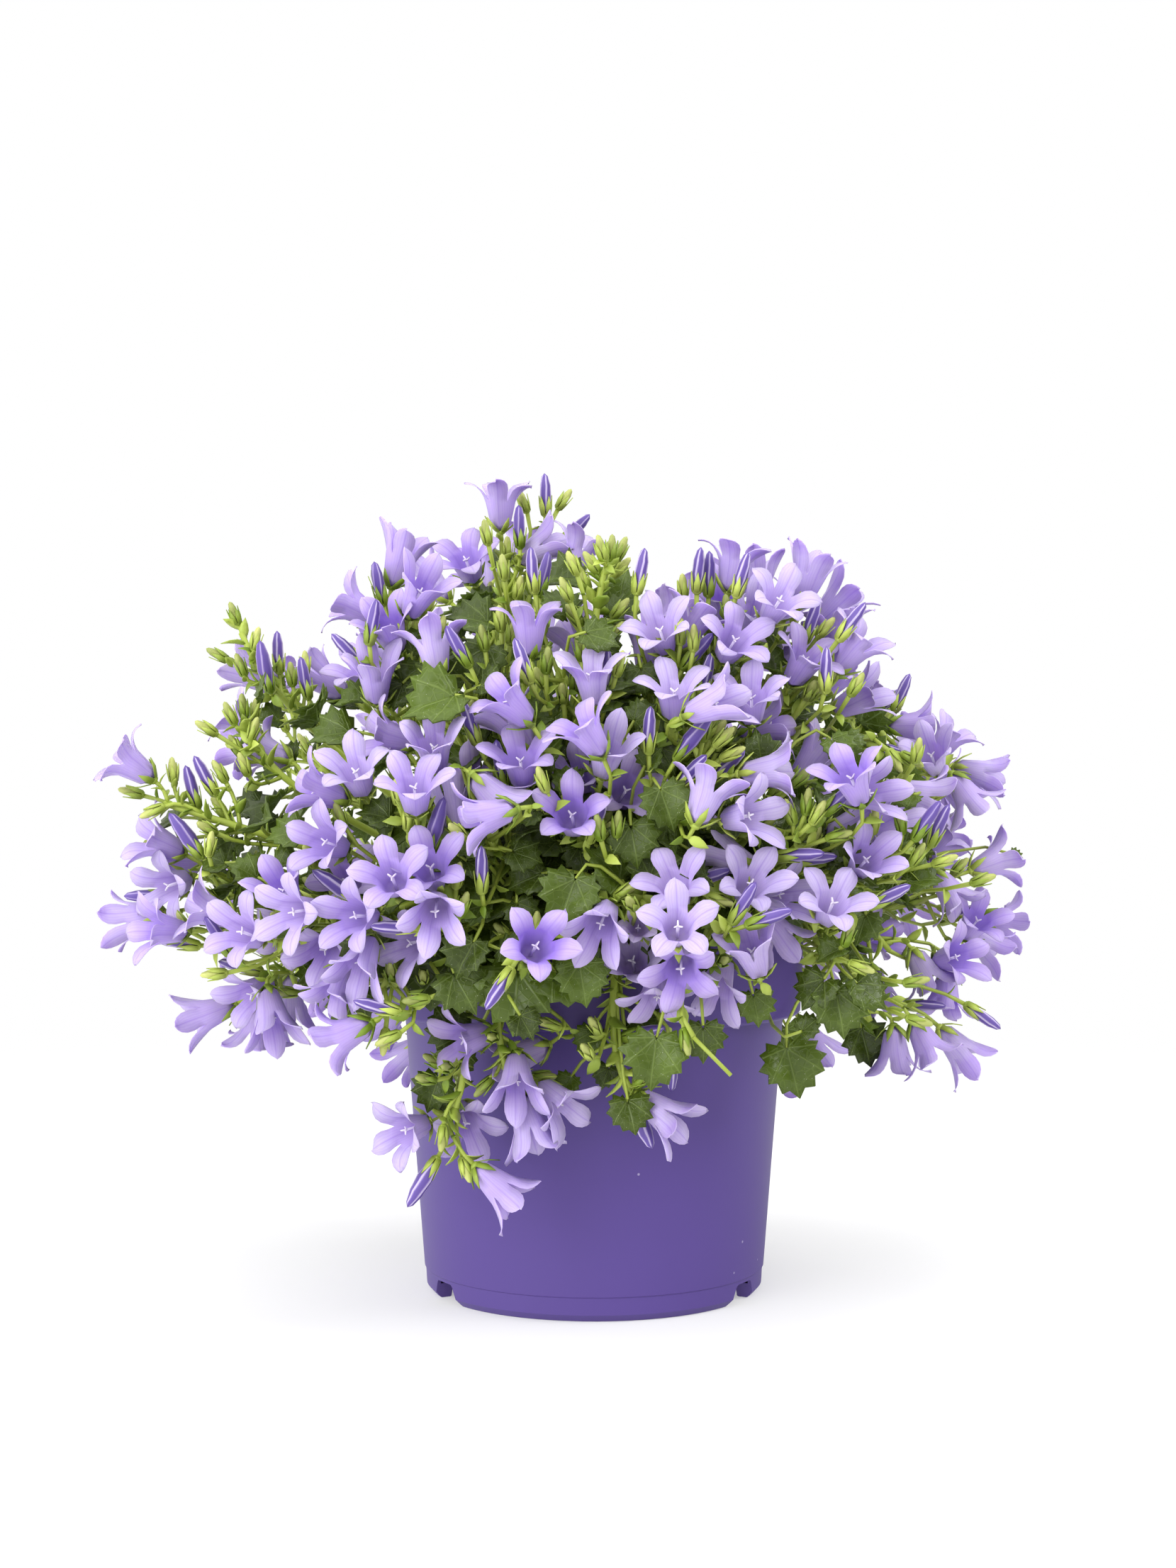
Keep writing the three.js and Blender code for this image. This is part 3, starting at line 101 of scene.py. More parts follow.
# The stems that the photograph shows: name, depth behind the pot's axis or None for the mound's surface,
# tip or None for the middle of its blooms and buds, and the points that it runs by. Then come its blooms by
# right, up, aim, lift and a size where it isn't 1, its buds by right, up, aim and stage, and its leaves by
# right, up, aim, lift, size and a depth of their own where they have one. Angles are in degrees.
FRONT_STEMS = [
    ("far_left_arm", -58, (-134, 150), [(-98, 126), (-104, 146), (-120, 144)],
     [(-146, 163, 145, 10)],
     [(-118, 153, 118, 1), (-123.5, 149, 105, 1), (-131, 157, 92, 0), (-141, 152.5, 165, 0),
      (-133, 147, 205, 0), (-115, 157, 120, 0), (-133, 142, 185, 0)],
     [(-113, 137, 250, 60, 9)]),
    ("left_bud_spike", -22, (-110, 203), [(-88, 160), (-91, 178), (-104, 187)],
     [(-105, 190, 150, -15)],
     [(-111, 206, 110, 0), (-106, 198, 75, 0), (-109, 190, 110, 0), (-113, 193, 150, 0), (-98, 191, 92, 1),
      (-90, 190.5, 90, 0), (-94, 187, 95, 0), (-101, 185, 100, 2), (-89, 183, 100, 1)],
     [(-100, 176, 170, 50, 10)]),
    ("left_low_spike", -40, (-109, 176), [(-92, 140), (-98, 158), (-106, 166)],
     [(-103, 166, 160, -20)],
     [(-112, 175, 115, 0), (-109, 177, 95, 0), (-106, 176, 80, 0), (-107, 170, 70, 0), (-110, 165, 120, 0),
      (-108, 159, 110, 0)],
     [(-106, 149, 200, 40, 12), (-99, 143, 250, 60, 11)]),
    ("left_cluster", -56, None, [],
     [(-137, 138, 155, 25), (-132, 130, 185, 10), (-133, 124, 200, 55), (-143, 114, 190, -15),
      (-136, 111, 170, 35)],
     [(-124, 135, 125, 2), (-128, 119, 180, 1), (-123.5, 105.5, 170, 1)],
     [(-113, 124, 200, 60, 10)]),
    ("left_front", None, None, [],
     [(-122, 117, 160, 10), (-110, 110, 150, 55), (-97, 123, 115, 40), (-94, 116, 185, 55),
      (-93, 109, 235, 60)],
     [(-117, 102, 122, 1)],
     [(-97, 131, 20, 40, 10), (-107, 128, 150, 50, 11)]),
    ("lower_left", -52, (-95, 97), [],
     [(-107, 90, 215, 45), (-121, 84, 200, -5), (-105, 79, 262, -5), (-95, 87, 268, -5),
      (-100, 83, 285, 25)],
     [(-104, 97.5, 165, 1)],
     []),
    ("left_of_pot", None, (-66, 92), [],
     [(-81, 91, 245, 25), (-79, 77, 205, -10), (-73, 100, 250, 40), (-84, 104, 240, 60)],
     [(-61, 85, 165, 1)],
     [(-75, 89, 250, 60, 15)]),
    ("left_row", None, None, [],
     [(-73, 113, 175, 60), (-61, 105, 190, 50), (-84, 138, 155, 55), (-77, 126, 110, 60)],
     [(-57, 113, 178, 1), (-75, 121, 145, 2)],
     [(-92, 139, 190, 50, 12)]),
    ("left_of_centre", None, None, [],
     [(-63, 127, 100, 65), (-51, 130, 100, 55), (-49.5, 120, 270, 70)],
     [(-51, 139, 75, 2)],
     [(-50, 99, 230, 70, 20), (-42, 94, 300, 70, 15), (-39, 104, 240, 50, 13)]),
    ("left_shoulder", None, None, [],
     [(-87, 154, 160, 10), (-74.5, 160, 105, 45), (-66, 171, 165, 15), (-50, 167.5, 95, 45),
      (-56, 155, 90, 40)],
     [],
     [(-79, 172, 190, 40, 15), (-69, 183, 175, 30, 12), (-66, 146, 170, 50, 11)]),
    ("inner_left", None, None, [],
     [(-45, 152, 100, -5), (-37, 147, 195, 5), (-30, 147, 315, -5)],
     [(-35, 122.5, 90, 1)],
     [(-25, 136, 340, 60, 11)]),
    ("upper_centre_left", None, None, [],
     [(-34, 158, 80, 60), (-23, 163.5, 95, 35), (-26, 175, 125, 0), (-27, 182, 135, 20)],
     [(-33, 170, 110, 1), (-28, 160, 100, 1)],
     [(-17, 178, 30, 60, 11), (-42, 180, 200, 55, 18)]),
    ("upper_left", None, None, [],
     [(-68, 190, 90, 30), (-76, 212, 150, 10), (-64, 204.5, 110, 45), (-60, 227, 72, 0), (-54, 216, 60, 35)],
     [(-72, 193, 135, 1), (-70, 196, 80, 1), (-66, 212, 100, 1), (-67, 216, 105, 0)],
     [(-54, 190, 260, 50, 13), (-62, 187, 250, 40, 10)]),
    ("top", -18, (-29, 222), [],
     [(-29, 244.5, 90, 10), (-40, 226, 108, 45), (-16, 230, 28, 10), (-4, 229, 68, 5)],
     [(-23, 230, 92, 1), (-15, 240, 92, 1), (-21, 241, 110, 0), (-11, 242, 55, 0), (-10, 231, 45, 1)],
     []),
    ("upper_left_leaves", None, None, [],
     [(-50, 199, 100, -10)],
     [(-54, 193, 85, 1), (-39, 193, 120, 1)],
     [(-36, 207, 172, 45, 15), (-46, 190, 195, 60, 13), (-34, 196, 250, 70, 13), (-33, 187, 10, 50, 10)]),
    ("upright", -78, (4, 224), [(-1, 160), (-1.5, 190), (-1, 210)],
     [],
     [(5, 226, 85, 0), (7, 226, 65, 0), (3, 226, 105, 0), (1, 222, 125, 0), (-2, 217, 115, 0),
      (6, 221, 45, 0), (6, 208, 50, 0), (4, 201, 45, 0), (-4, 206, 130, 0)],
     [(3, 203, 330, 50, 9)]),
    ("centre_bells", None, None, [],
     [(-20, 206, 90, 10), (-1, 190, 95, 25), (-6, 201, 125, 10)],
     [(-18.5, 216, 95, 1), (-17, 215, 78, 1), (-20, 188, 110, 1), (4, 184, 90, 1)],
     [(-7, 220, 175, 50, 14), (8, 214, 80, 30, 14), (12, 206, 20, 50, 12), (5, 200, 340, 50, 12)]),
    ("centre_right_star", None, None, [],
     [(20.5, 204, 110, 50), (17, 199, 85, -5), (31, 207, 62, 0)],
     [(28, 214, 95, 0), (15, 214, 80, 1)],
     [(15, 190, 280, 60, 10), (10, 202, 300, 50, 10)]),
    ("right_dome", None, None, [],
     [(40.5, 212, 95, 40), (44, 226, 78, 5), (51, 220, 95, -5), (44, 201, 60, 50), (52.5, 207, 70, 50),
      (58, 213.5, 60, 45)],
     [(32, 216, 85, 1), (46, 213, 75, 1), (39, 216, 90, 1), (64, 202, 72, 1), (61, 206, 85, 1)],
     [(41, 193, 20, 50, 11)]),
    ("right_dome_edge", None, None, [],
     [(67, 221, 72, 5), (76, 213, 45, 5), (66, 195, 60, 30), (82, 199, 50, 15), (77, 203, 95, -10)],
     [(73, 200, 55, 1), (72, 181, 90, 1), (75, 192, 70, 1)],
     [(63, 176, 340, 55, 13)]),
    ("right_of_centre", None, None, [],
     [(49, 183, 95, 40), (55, 174, 15, 10), (25, 185, 90, 30), (38, 181, 22, 15)],
     [(33, 190, 50, 1), (30, 182, 78, 1)],
     [(27, 163, 300, 60, 10)]),
    ("centre", None, None, [],
     [(4, 166, 80, 45), (-4.5, 158, 110, 55), (-7, 146.5, 100, 60), (-7, 172, 125, 20)],
     [(-3, 140, 70, 1)],
     [(-6, 136, 280, 60, 10), (3, 131, 320, 60, 12)]),
    ("centre_star", None, None, [],
     [(10, 154, 60, 65), (35.5, 153, 68, -15), (48.5, 146, 10, 40)],
     [(17, 166, 88, 1), (25.5, 154.5, 48, 1), (36.5, 157, 42, 1), (36, 142, 58, 1), (24, 165.5, 52, 2),
      (34, 170, 85, 1)],
     [(12, 144, 280, 65, 14), (27, 149, 290, 65, 14)]),
    ("right_bells", None, None, [],
     [(56, 160, 5, 0), (69, 165, 52, 5)],
     [],
     [(52, 168, 100, 60, 13), (75, 168, 300, 50, 10)]),
    ("right_middle", None, None, [],
     [(25, 125, 110, 50), (49, 125, 70, 60), (58, 121.5, 10, 40), (43, 132, 155, -20)],
     [(31, 123, 20, 1), (46, 137, 15, 1), (61, 134.5, 5, 1)],
     [(22, 118, 200, 60, 10), (23, 139, 160, 50, 10), (64, 126, 300, 60, 10)]),
    ("front_centre", None, (16, 118), [],
     [(28, 110, 90, 65), (27, 98, 260, 65), (12, 101, 100, 65), (2, 112, 245, 55), (12, 113, 90, 70, 0.6)],
     [],
     [(-7, 123, 250, 70, 16), (-19, 127, 200, 65, 12), (-23, 117, 300, 65, 10)]),
    ("front_right", None, (42, 108), [],
     [(38, 93, 245, 40), (18, 91, 262, 30), (49, 104, 110, 35), (56, 114, 305, -15)],
     [(43, 113, 60, 1), (48, 112, 20, 1), (31, 77, 315, 3)],
     [(50, 88, 280, 60, 11), (34, 82, 270, 60, 12), (19, 73, 262, 55, 17)]),
    ("front_left_star", None, None, [],
     [(-18, 105.5, 60, 65)],
     [(-26, 98, 238, 1)],
     [(-24, 93, 265, 75, 21), (-4, 97, 280, 60, 14), (-35, 116, 200, 60, 11)]),
    ("right_row", None, None, [],
     [(71, 118, 75, 50), (85, 132.5, 60, 60), (86, 153, 15, 40), (80, 158, 115, 30)],
     [(72, 147, 45, 1), (60, 134, 5, 1)],
     [(72, 129, 20, 60, 10), (84, 113, 250, 60, 11), (77, 141, 280, 50, 10)]),
    ("right_shoulder", None, None, [],
     [(81.5, 143, 20, 5), (94, 146, 30, 30), (103, 152, 345, -10)],
     [(100, 139, 58, 1), (105, 137, 68, 1), (86, 118, 28, 1)],
     [(100, 126, 10, 50, 12)]),
    ("right_upper_edge", 8, (90, 172), [(72, 165), (78, 178)],
     [(101, 174, 0, 5), (105, 165, 120, 50), (111, 171, 58, 15)],
     [(93.5, 179, 68, 1), (88, 178, 42, 1), (81, 180, 58, 1), (84, 168, 350, 1), (88, 175, 30, 0),
      (95, 176, 45, 0)],
     []),
    ("right_edge", 30, (100, 157), [],
     [(121, 159, 345, 5), (109, 157, 352, 5), (118, 150, 305, -5)],
     [],
     []),
    ("far_right", 26, (106, 122), [],
     [(104, 127, 160, 45), (110, 137, 40, 10), (112, 121, 305, 10), (118, 115, 60, 40),
      (128, 113, 350, -15), (122, 109, 325, -10), (125, 132, 20, -20)],
     [(108, 113, 25, 1)],
     [(125, 122, 270, 60, 12), (128, 136, 80, 50, 9), (129, 135, 320, 40, 6)]),
    ("lower_right", 0, (92, 104), [],
     [(113, 102, 20, 50), (104, 96, 300, 0), (109, 89, 262, 10), (88, 108, 30, 35), (89, 90, 290, 10)],
     [(97, 87, 0, 1)],
     [(84, 93, 290, 60, 12)]),
    ("right_of_pot", -8, (86, 82), [],
     [(93.5, 71, 272, 0), (103, 75, 300, 5), (114, 73, 312, -5)],
     [(113, 86, 325, 1)],
     [(84, 77, 285, 60, 15), (61, 70, 285, 70, 18, -58)]),
    ("front_trail", -80, (-27, 66), [(-33, 108), (-33, 84)],
     [(-41, 76, 195, 30), (-24, 71, 200, 5), (-24, 63, 272, 40), (-20, 49, 285, 5), (-14, 55, 320, 30)],
     [(-32, 64, 225, 0), (-19, 65, 0, 0), (-11, 80, 160, 0)],
     [(-42, 71, 230, 60, 12)]),
    ("left_trail", -76, (-46, 50), [(-44, 106), (-38, 76), (-38, 62)],
     [(-40, 50, 300, 60), (-59, 48, 190, 50), (-29, 30, 318, -5)],
     [(-49, 39, 238, 2), (-41, 39, 290, 0), (-47, 49, 265, 0)],
     [(-46, 63, 250, 65, 12), (-46, 56, 280, 60, 8)]),
    ("centre_trail", -74, (12, 60), [(6, 120), (5, 86), (3, 70)],
     [(22, 53, 325, 15)],
     [(9, 77, 15, 1), (18, 65, 8, 0), (13, 62, 40, 0), (11, 58, 295, 2), (24, 74, 270, 1)],
     [(-1, 77, 250, 60, 10), (-8, 67, 240, 50, 8), (4, 66, 250, 50, 8)]),
]

# Small green buds and leaves deep in the mound, by stem: right, up and aim, and for a leaf its lift and size
INNER_ITEMS = {
    "left_cluster": ([(-125, 140, 110), (-120, 134, 80), (-126, 110, 120)], [(-117, 131, 190, 40, 9)]),
    "left_front": ([(-89, 126, 110)], []),
    "lower_left": ([(-115, 97, 185)], []),
    "left_of_pot": ([(-61, 78, 205), (-65, 79, 265), (-52, 89, 185)], []),
    "left_row": ([(-78, 143, 110)], [(-63, 119, 30, 50, 9)]),
    "left_of_centre": ([(-43, 124, 80), (-42, 115, 70)], []),
    "left_shoulder": ([(-73, 152, 110), (-68, 165, 80), (-61, 150, 95), (-58, 142, 85)], []),
    "inner_left": ([(-31, 143, 80)], [(-37, 136, 180, 60, 9), (-38, 131, 330, 60, 9)]),
    "upper_centre_left": ([(-25, 153, 110)], []),
    "upper_left": ([(-61, 213, 85), (-53, 209, 60)], [(-56, 199, 70, 40, 9)]),
    "top": ([(-33, 231, 100), (-26, 235, 60), (-28, 220, 95)], []),
    "upper_left_leaves": ([(-34, 198, 100), (-48, 201, 80), (-29, 204, 95), (-26, 200, 80)],
                          [(-47, 198, 185, 50, 9), (-43, 202, 170, 40, 9)]),
    "centre_bells": ([(-15, 191, 85), (-11, 211, 80), (-8, 210, 75), (-4, 195, 100), (7, 190, 75)], []),
    "centre_right_star": ([(27, 200, 90), (31, 198, 90)], []),
    "right_dome_edge": ([(74, 197, 15), (70, 202, 50)], []),
    "right_of_centre": ([(24, 178, 85), (20, 177, 75), (21, 170, 50)], [(14, 177, 40, 60, 9)]),
    "centre": ([(2, 147, 110), (-15, 154, 110)], [(-20, 147, 200, 60, 9)]),
    "centre_star": ([(15, 175, 90), (38, 168, 45), (40, 164, 25), (7, 140, 85), (2, 139, 100)],
                    [(17, 163, 50, 50, 8)]),
    "right_bells": ([(66, 147, 85), (62, 144, 110), (68, 144, 60)], []),
    "right_middle": ([(36, 121, 340)], []),
    "front_centre": ([(7, 121, 30)], []),
    "front_right": ([(28, 79, 280)], []),
    "front_left_star": ([], [(-27, 104, 350, 60, 9)]),
    "right_row": ([(73, 139, 15), (87, 141, 85)], []),
    "right_shoulder": ([(96, 141, 100), (106, 131, 20), (99, 131, 60)], [(95, 133, 60, 50, 9)]),
    "right_upper_edge": ([(80, 184, 60), (92, 166, 300), (96, 165, 330)], [(79, 169, 300, 50, 9)]),
    "right_edge": ([(97, 160, 60), (100, 163, 80)], [(98, 152, 200, 40, 9)]),
    "far_right": ([(118, 125, 20)], []),
    "lower_right": ([(97, 94, 10), (78, 106, 70), (80, 100, 340)], [(75, 104, 200, 40, 9)]),
    "right_of_pot": ([(98, 83, 345)],
                     [(66, 80, 40, 50, 8), (76, 88, 280, 50, 16), (84, 92, 320, 40, 13),
                      (70, 93, 230, 40, 13)]),
    "front_trail": ([], [(-22, 82, 300, 60, 9)]),
}

# sizes shared with the solids, in millimetres

POT_HEIGHT = 110
COLLAR_RADIUS = 65
COLLAR_BOTTOM = 85.3
LEDGE_RADIUS = 58.7
SOIL_TOP = 96
HOLE_DEPTH = 11
MOUND_CENTRE = (0, 0, 112)
MOUND_RADII = (140, 112, 138)
BACK_RADII = (142, 119, 132)
CROWN = (0, 0, 100)
EYE = (-1.9, -717.8, 155.9)
ROOT_CIRCLE = 50
ROOT_SPACING = 9
ROOT_ROUNDS = 60
STEM_SPANS = 4
STEM_LIFTS = (0, 8, 16, -6, 24, 34)
STEM_SWINGS = (0, 4, -4, 8, -8)
TIP_SETBACK = 9
DEPTH_SPREAD = 6
AIM_LIFT = 12
BUD_SINK = 3
LEAF_SINK = 9
KNEE = 4
KNEE_TURN = 0.4
FULL_ROLL = 72
TUBE_LENGTH = 9.5
# By the stage of a bud: green, striped, opening, and the bare end of a cut stem
BUD_LENGTHS = (6.5, 12.5, 15.5, 14)
BUD_RADII = (1.7, 1.8, 2.5, 0.9)
BARE_END = 3
LEAF_BASE = 0.2
LEAF_BALL = 1.5
STEM_BALL = 1.5
STALK_BALL = 1.1
CLEARANCE = 0.7
OWN_OVERLAP = 0.3
STALK_OVERLAP = 0.3
START_SPACING = 2.8
START_TRIES = 5
NUDGES = ((0, 0), (1.5, 1.5), (-1.5, -1.5), (3, -1), (-3, 1), (0, 3.5), (0, -3.5), (4.5, 2))
BACK_POINTS = 29
BACK_FRONT = 0.2
TOP_FRONT = -0.4
TOP_HEIGHT = 0.62
BACK_BLOOMS = 3
SEED = 20255
DROP_LIMIT = 0.4
CREST_MIDDLE = 112
CREST_MARGIN = 10
# How far the mound's outline is from its middle as the eye sees it, by degrees up from the right
CREST = (
    (-45, 88), (-22, 116), (-5, 126), (10, 134), (22, 136), (34, 120), (45, 120), (60, 130), (70, 124),
    (78, 104), (88, 112), (98, 134), (108, 132), (122, 126), (130, 114), (142, 134), (160, 146),
    (178, 142), (190, 126), (202, 100), (225, 80),
)
# How far along its shift from its own place an item of each kind is tried
OFFSETS = {
    "bloom": (0, 4, -4, 8, -8, 12, -12, 17, 22, 28),
    "bud": (0, 4, -4, 8, -8, 12),
    "leaf": (0, 4, -4, 8, 12, -8),
}
UP = (0.0, 0.0, 1.0)


class Random:
    """One seeded stream of numbers from 0 to 1."""

    def __init__(self, seed):
        self.state = seed

    def __call__(self):
        self.state = (self.state + 0x6D2B79F5) & 0xFFFFFFFF
        t = self.state
        t = ((t ^ (t >> 15)) * (1 | t)) & 0xFFFFFFFF
        t ^= (t + ((t ^ (t >> 7)) * (61 | t) & 0xFFFFFFFF)) & 0xFFFFFFFF
        return (t ^ (t >> 14)) / 4294967296


# places and directions as plain tuples

def add(a, b):
    return (a[0] + b[0], a[1] + b[1], a[2] + b[2])


def scaled(a, s):
    return (a[0] * s, a[1] * s, a[2] * s)


def along(a, d, s):
    return (a[0] + d[0] * s, a[1] + d[1] * s, a[2] + d[2] * s)


def between(a, b, t):
    return (a[0] + (b[0] - a[0]) * t, a[1] + (b[1] - a[1]) * t, a[2] + (b[2] - a[2]) * t)


def dot(a, b):
    return a[0] * b[0] + a[1] * b[1] + a[2] * b[2]


def cross(a, b):
    return (a[1] * b[2] - a[2] * b[1], a[2] * b[0] - a[0] * b[2], a[0] * b[1] - a[1] * b[0])


def normal_of(a):
    return scaled(a, 1 / (math.sqrt(dot(a, a)) or 1))


def unit(a, b):
    return normal_of((b[0] - a[0], b[1] - a[1], b[2] - a[2]))


def gap_of(a, b):
    return math.sqrt((a[0] - b[0]) ** 2 + (a[1] - b[1]) ** 2 + (a[2] - b[2]) ** 2)


def seen(right, up, away):
    """The point that the eye sees at right and up in the plane of the pot's axis, at a depth behind it."""
    share = (away - EYE[1]) / -EYE[1]
    return (EYE[0] + (right - EYE[0]) * share, float(away), EYE[2] + (up - EYE[2]) * share)


def mound_depth(right, up):
    start = [(EYE[i] - MOUND_CENTRE[i]) / MOUND_RADII[i] for i in range(3)]
    run = [((right, 0, up)[i] - EYE[i]) / MOUND_RADII[i] for i in range(3)]
    a = dot(run, run)
    b = dot(start, run)
    reach = max(b * b - a * (dot(start, start) - 1), 0)
    return EYE[1] * (1 - (-b - math.sqrt(reach)) / a)


def aimed(aim, lift):
    flat = math.cos(math.radians(lift))
    aim = math.radians(aim)
    return (math.cos(aim) * flat, -math.sin(math.radians(lift)), math.sin(aim) * flat)


def square_to(axis):
    across = normal_of(cross(UP if abs(axis[2]) < 0.9 else (1, 0, 0), axis))
    return across, cross(axis, across)


def turned_about(axis, turn):
    """A direction square to an axis, turned round it."""
    across, upward = square_to(axis)
    return along(scaled(across, math.cos(turn)), upward, math.sin(turn))


def mound_normal(point):
    return normal_of([(point[i] - MOUND_CENTRE[i]) / MOUND_RADII[i] / MOUND_RADII[i] for i in range(3)])


def plan_front_stem(name, away, tip, via, blooms, buds, leaves, random):
    """Where everything on a front stem goes, before it is moved clear of its neighbours."""
    def item(kind, right, up, direction, sink, away=away, **more):
        depth = (mound_depth(right, up) if away is None else away) + sink + (random() - 0.5) * DEPTH_SPREAD
        point = seen(right, up, depth)
        return dict(kind=kind, point=point, shift=unit(EYE, point), direction=direction,
                    roll=random() * FULL_ROLL, **more)

    items = []
    for right, up, aim, lift, *scale in blooms:
        items.append(item("bloom", right, up, aimed(aim, lift), 0, scale=scale[0] if scale else 1))
    for right, up, aim, stage in buds:
        items.append(item("bud", right, up, aimed(aim, AIM_LIFT), BUD_SINK, stage=stage))
    for right, up, aim, lift, size, *own_away in leaves:
        face = (0, -math.sin(math.radians(lift)), math.cos(math.radians(lift)))
        items.append(item("leaf", right, up, aimed(aim, AIM_LIFT), LEAF_SINK, *own_away, size=size,
                          face=face))
    head = None
    if tip:
        head = seen(*tip, mound_depth(*tip) + TIP_SETBACK if away is None else away)
    return dict(name=name, items=items, head=head, via=[seen(*place, away) for place in via])


def in_view(point):
    """Where the eye sees a point, in the plane of the pot's axis."""
    share = -EYE[1] / (point[1] - EYE[1])
    return EYE[0] + (point[0] - EYE[0]) * share, EYE[2] + (point[2] - EYE[2]) * share


def crest_room(point):
    """How far inside the mound's outline the eye sees a point."""
    right, up = in_view(point)
    up -= CREST_MIDDLE
    angle = (math.degrees(math.atan2(up, right)) + 405) % 360 - 45
    i = max(next((i for i, (at, _) in enumerate(CREST) if at >= angle), 0), 1)
    (start, low), (end, high) = CREST[i - 1:i + 1]
    share = min(max((angle - start) / (end - start), 0), 1)
    return low + (high - low) * share - math.hypot(right, up)


def drawn_in(point):
    """Draws a point towards the middle of the mound until the eye sees it inside the outline."""
    while crest_room(point) < CREST_MARGIN:
        point = between(point, MOUND_CENTRE, 0.03)
    return point


def plan_back_stems(random):
    """The back half and the top follow the sunflower spiral over the mound."""
    golden = math.pi * (3 - math.sqrt(5))
    stems = []
    for i in range(BACK_POINTS):
        height = 1 - (i + 0.5) * 1.5 / BACK_POINTS
        ring = math.sqrt(1 - height * height)
        centre = (math.cos(golden * i) * ring, math.sin(golden * i) * ring, height)
        if centre[1] >= (TOP_FRONT if height > TOP_HEIGHT else BACK_FRONT):
            stems.append(plan_back_stem(centre, len(stems), random))
    return stems


def back_item(centre, kind, angle, spread, out, tilt, random, **more):
    across, upward = square_to(centre)

    def place(spread):
        point = along(centre, across, math.cos(angle) * spread)
        point = normal_of(along(point, upward, math.sin(angle) * spread))
        return drawn_in(add([point[i] * BACK_RADII[i] * out for i in range(3)], MOUND_CENTRE))

    point = place(spread)
    normal = mound_normal(point)
    side = unit(place(0), point)
    direction = add(along(normal, side, tilt), (0, 0, -0.5 if centre[2] < -0.1 else 0.25))
    return dict(kind=kind, point=point, shift=scaled(normal, -1), direction=normal_of(direction),
                roll=random() * FULL_ROLL, **more)


def plan_back_stem(centre, index, random):
    items = []
    start = random() * math.pi
    for i in range(BACK_BLOOMS):
        angle = start + (i + (random() - 0.5) * 0.5) * 2 * math.pi / BACK_BLOOMS
        spread = 0.1 + random() * 0.04
        out = 0.97 + random() * 0.06
        items.append(back_item(centre, "bloom", angle, spread, out, 0.5, random, scale=1))
    size = 13 + random() * 5
    leaf = back_item(centre, "leaf", start + 2, 0.12, 0.92, 1.5, random, size=size)
    leaf["face"] = mound_normal(leaf["point"])
    items.append(leaf)
    return dict(name=f"back_stem_{index + 1:02d}", items=items, head=None, via=[], centre=centre)


class Crowd:
    """Balls that stand for what is already placed, to keep neighbours apart."""

    # Below the kinds: how many balls there may be, how far apart two of them can still touch, and the gaps
    # that are kept from the pot's wall and its rim
    KINDS = {"stem": 0, "stalk": 1, "head": 2}
    MOST_BALLS = 40000
    WIDEST_REACH = 11
    POT_GAP = 0.6
    RIM_GAP = 0.7

    def __init__(self):
        self.balls = np.zeros((self.MOST_BALLS, 6))
        self.count = 0

    def remember(self, balls, owner):
        for at, radius, kind in balls:
            self.balls[self.count] = (*at, radius, self.KINDS[kind], owner)
            self.count += 1

    def deepest(self, balls, owner, clearance):
        """The deepest that any of the balls goes into the pot or into what has been placed."""
        worst = 0.0
        for at, radius, kind in balls:
            wall = (COLLAR_RADIUS if at[2] > COLLAR_BOTTOM - 1 else LEDGE_RADIUS) + self.POT_GAP
            out = math.hypot(at[0], at[1])
            if out + radius < LEDGE_RADIUS + 3 and at[2] > SOIL_TOP - HOLE_DEPTH - 1:
                continue
            worst = max(worst, min(POT_HEIGHT + self.RIM_GAP - (at[2] - radius), wall - (out - radius)))
        mine = np.array([(*at, radius, self.KINDS[kind]) for at, radius, kind in balls])
        placed = self.balls[:self.count]
        low = mine[:, :3].min(0) - self.WIDEST_REACH
        high = mine[:, :3].max(0) + self.WIDEST_REACH
        placed = placed[((placed[:, :3] > low) & (placed[:, :3] < high)).all(1)]
        if not len(placed):
            return worst
        own = placed[:, 5] == owner
        step = mine[:, None, :3] - placed[None, :, :3]
        gap = np.sqrt(step[..., 0] ** 2 + step[..., 1] ** 2 + step[..., 2] ** 2)
        stem, stalk, head = self.KINDS.values()
        heads = (mine[:, 4] == head)[:, None] & (placed[:, 4] == head)[None]
        room = np.where(own[None], np.where(heads, -OWN_OVERLAP, -STALK_OVERLAP), clearance)
        depth = mine[:, 3][:, None] + placed[:, 3][None] + room - gap
        skip = own[None] & (mine[:, 4] == stalk)[:, None] & (placed[:, 4] == stem)[None]
        return max(worst, float(np.where(skip, 0, depth).max()))


def balls_along(a, b, radius, step, skip, kind):
    length = gap_of(a, b)
    balls = []
    s = skip
    while s <= length:
        balls.append((between(a, b, s / length), radius, kind))
        s += step
    return balls


def place_roots(stems):
    """Each stem starts on the side of its head, and the roots push each other apart."""
    for stem in stems:
        reach = add(stem["tip"], scaled(CROWN, -1))
        level = math.hypot(reach[0], reach[1])
        out = ROOT_CIRCLE * min(1, 0.12 + math.atan2(level, reach[2]) / math.pi * 1.75)
        stem["root"] = (reach[0] / level * out, reach[1] / level * out, SOIL_TOP)
    for _ in range(ROOT_ROUNDS):
        for i, stem in enumerate(stems):
            for other in stems[:i]:
                a, b = stem["root"], other["root"]
                gap = gap_of(a, b)
                if gap < ROOT_SPACING:
                    push = scaled(unit(b, a), (ROOT_SPACING - gap) / 2)
                    stem["root"] = add(a, push)
                    other["root"] = add(b, scaled(push, -1))
        for stem in stems:
            x, y, z = stem["root"]
            out = math.hypot(x, y)
            if out > ROOT_CIRCLE:
                stem["root"] = (x * (ROOT_CIRCLE / out), y * (ROOT_CIRCLE / out), z)


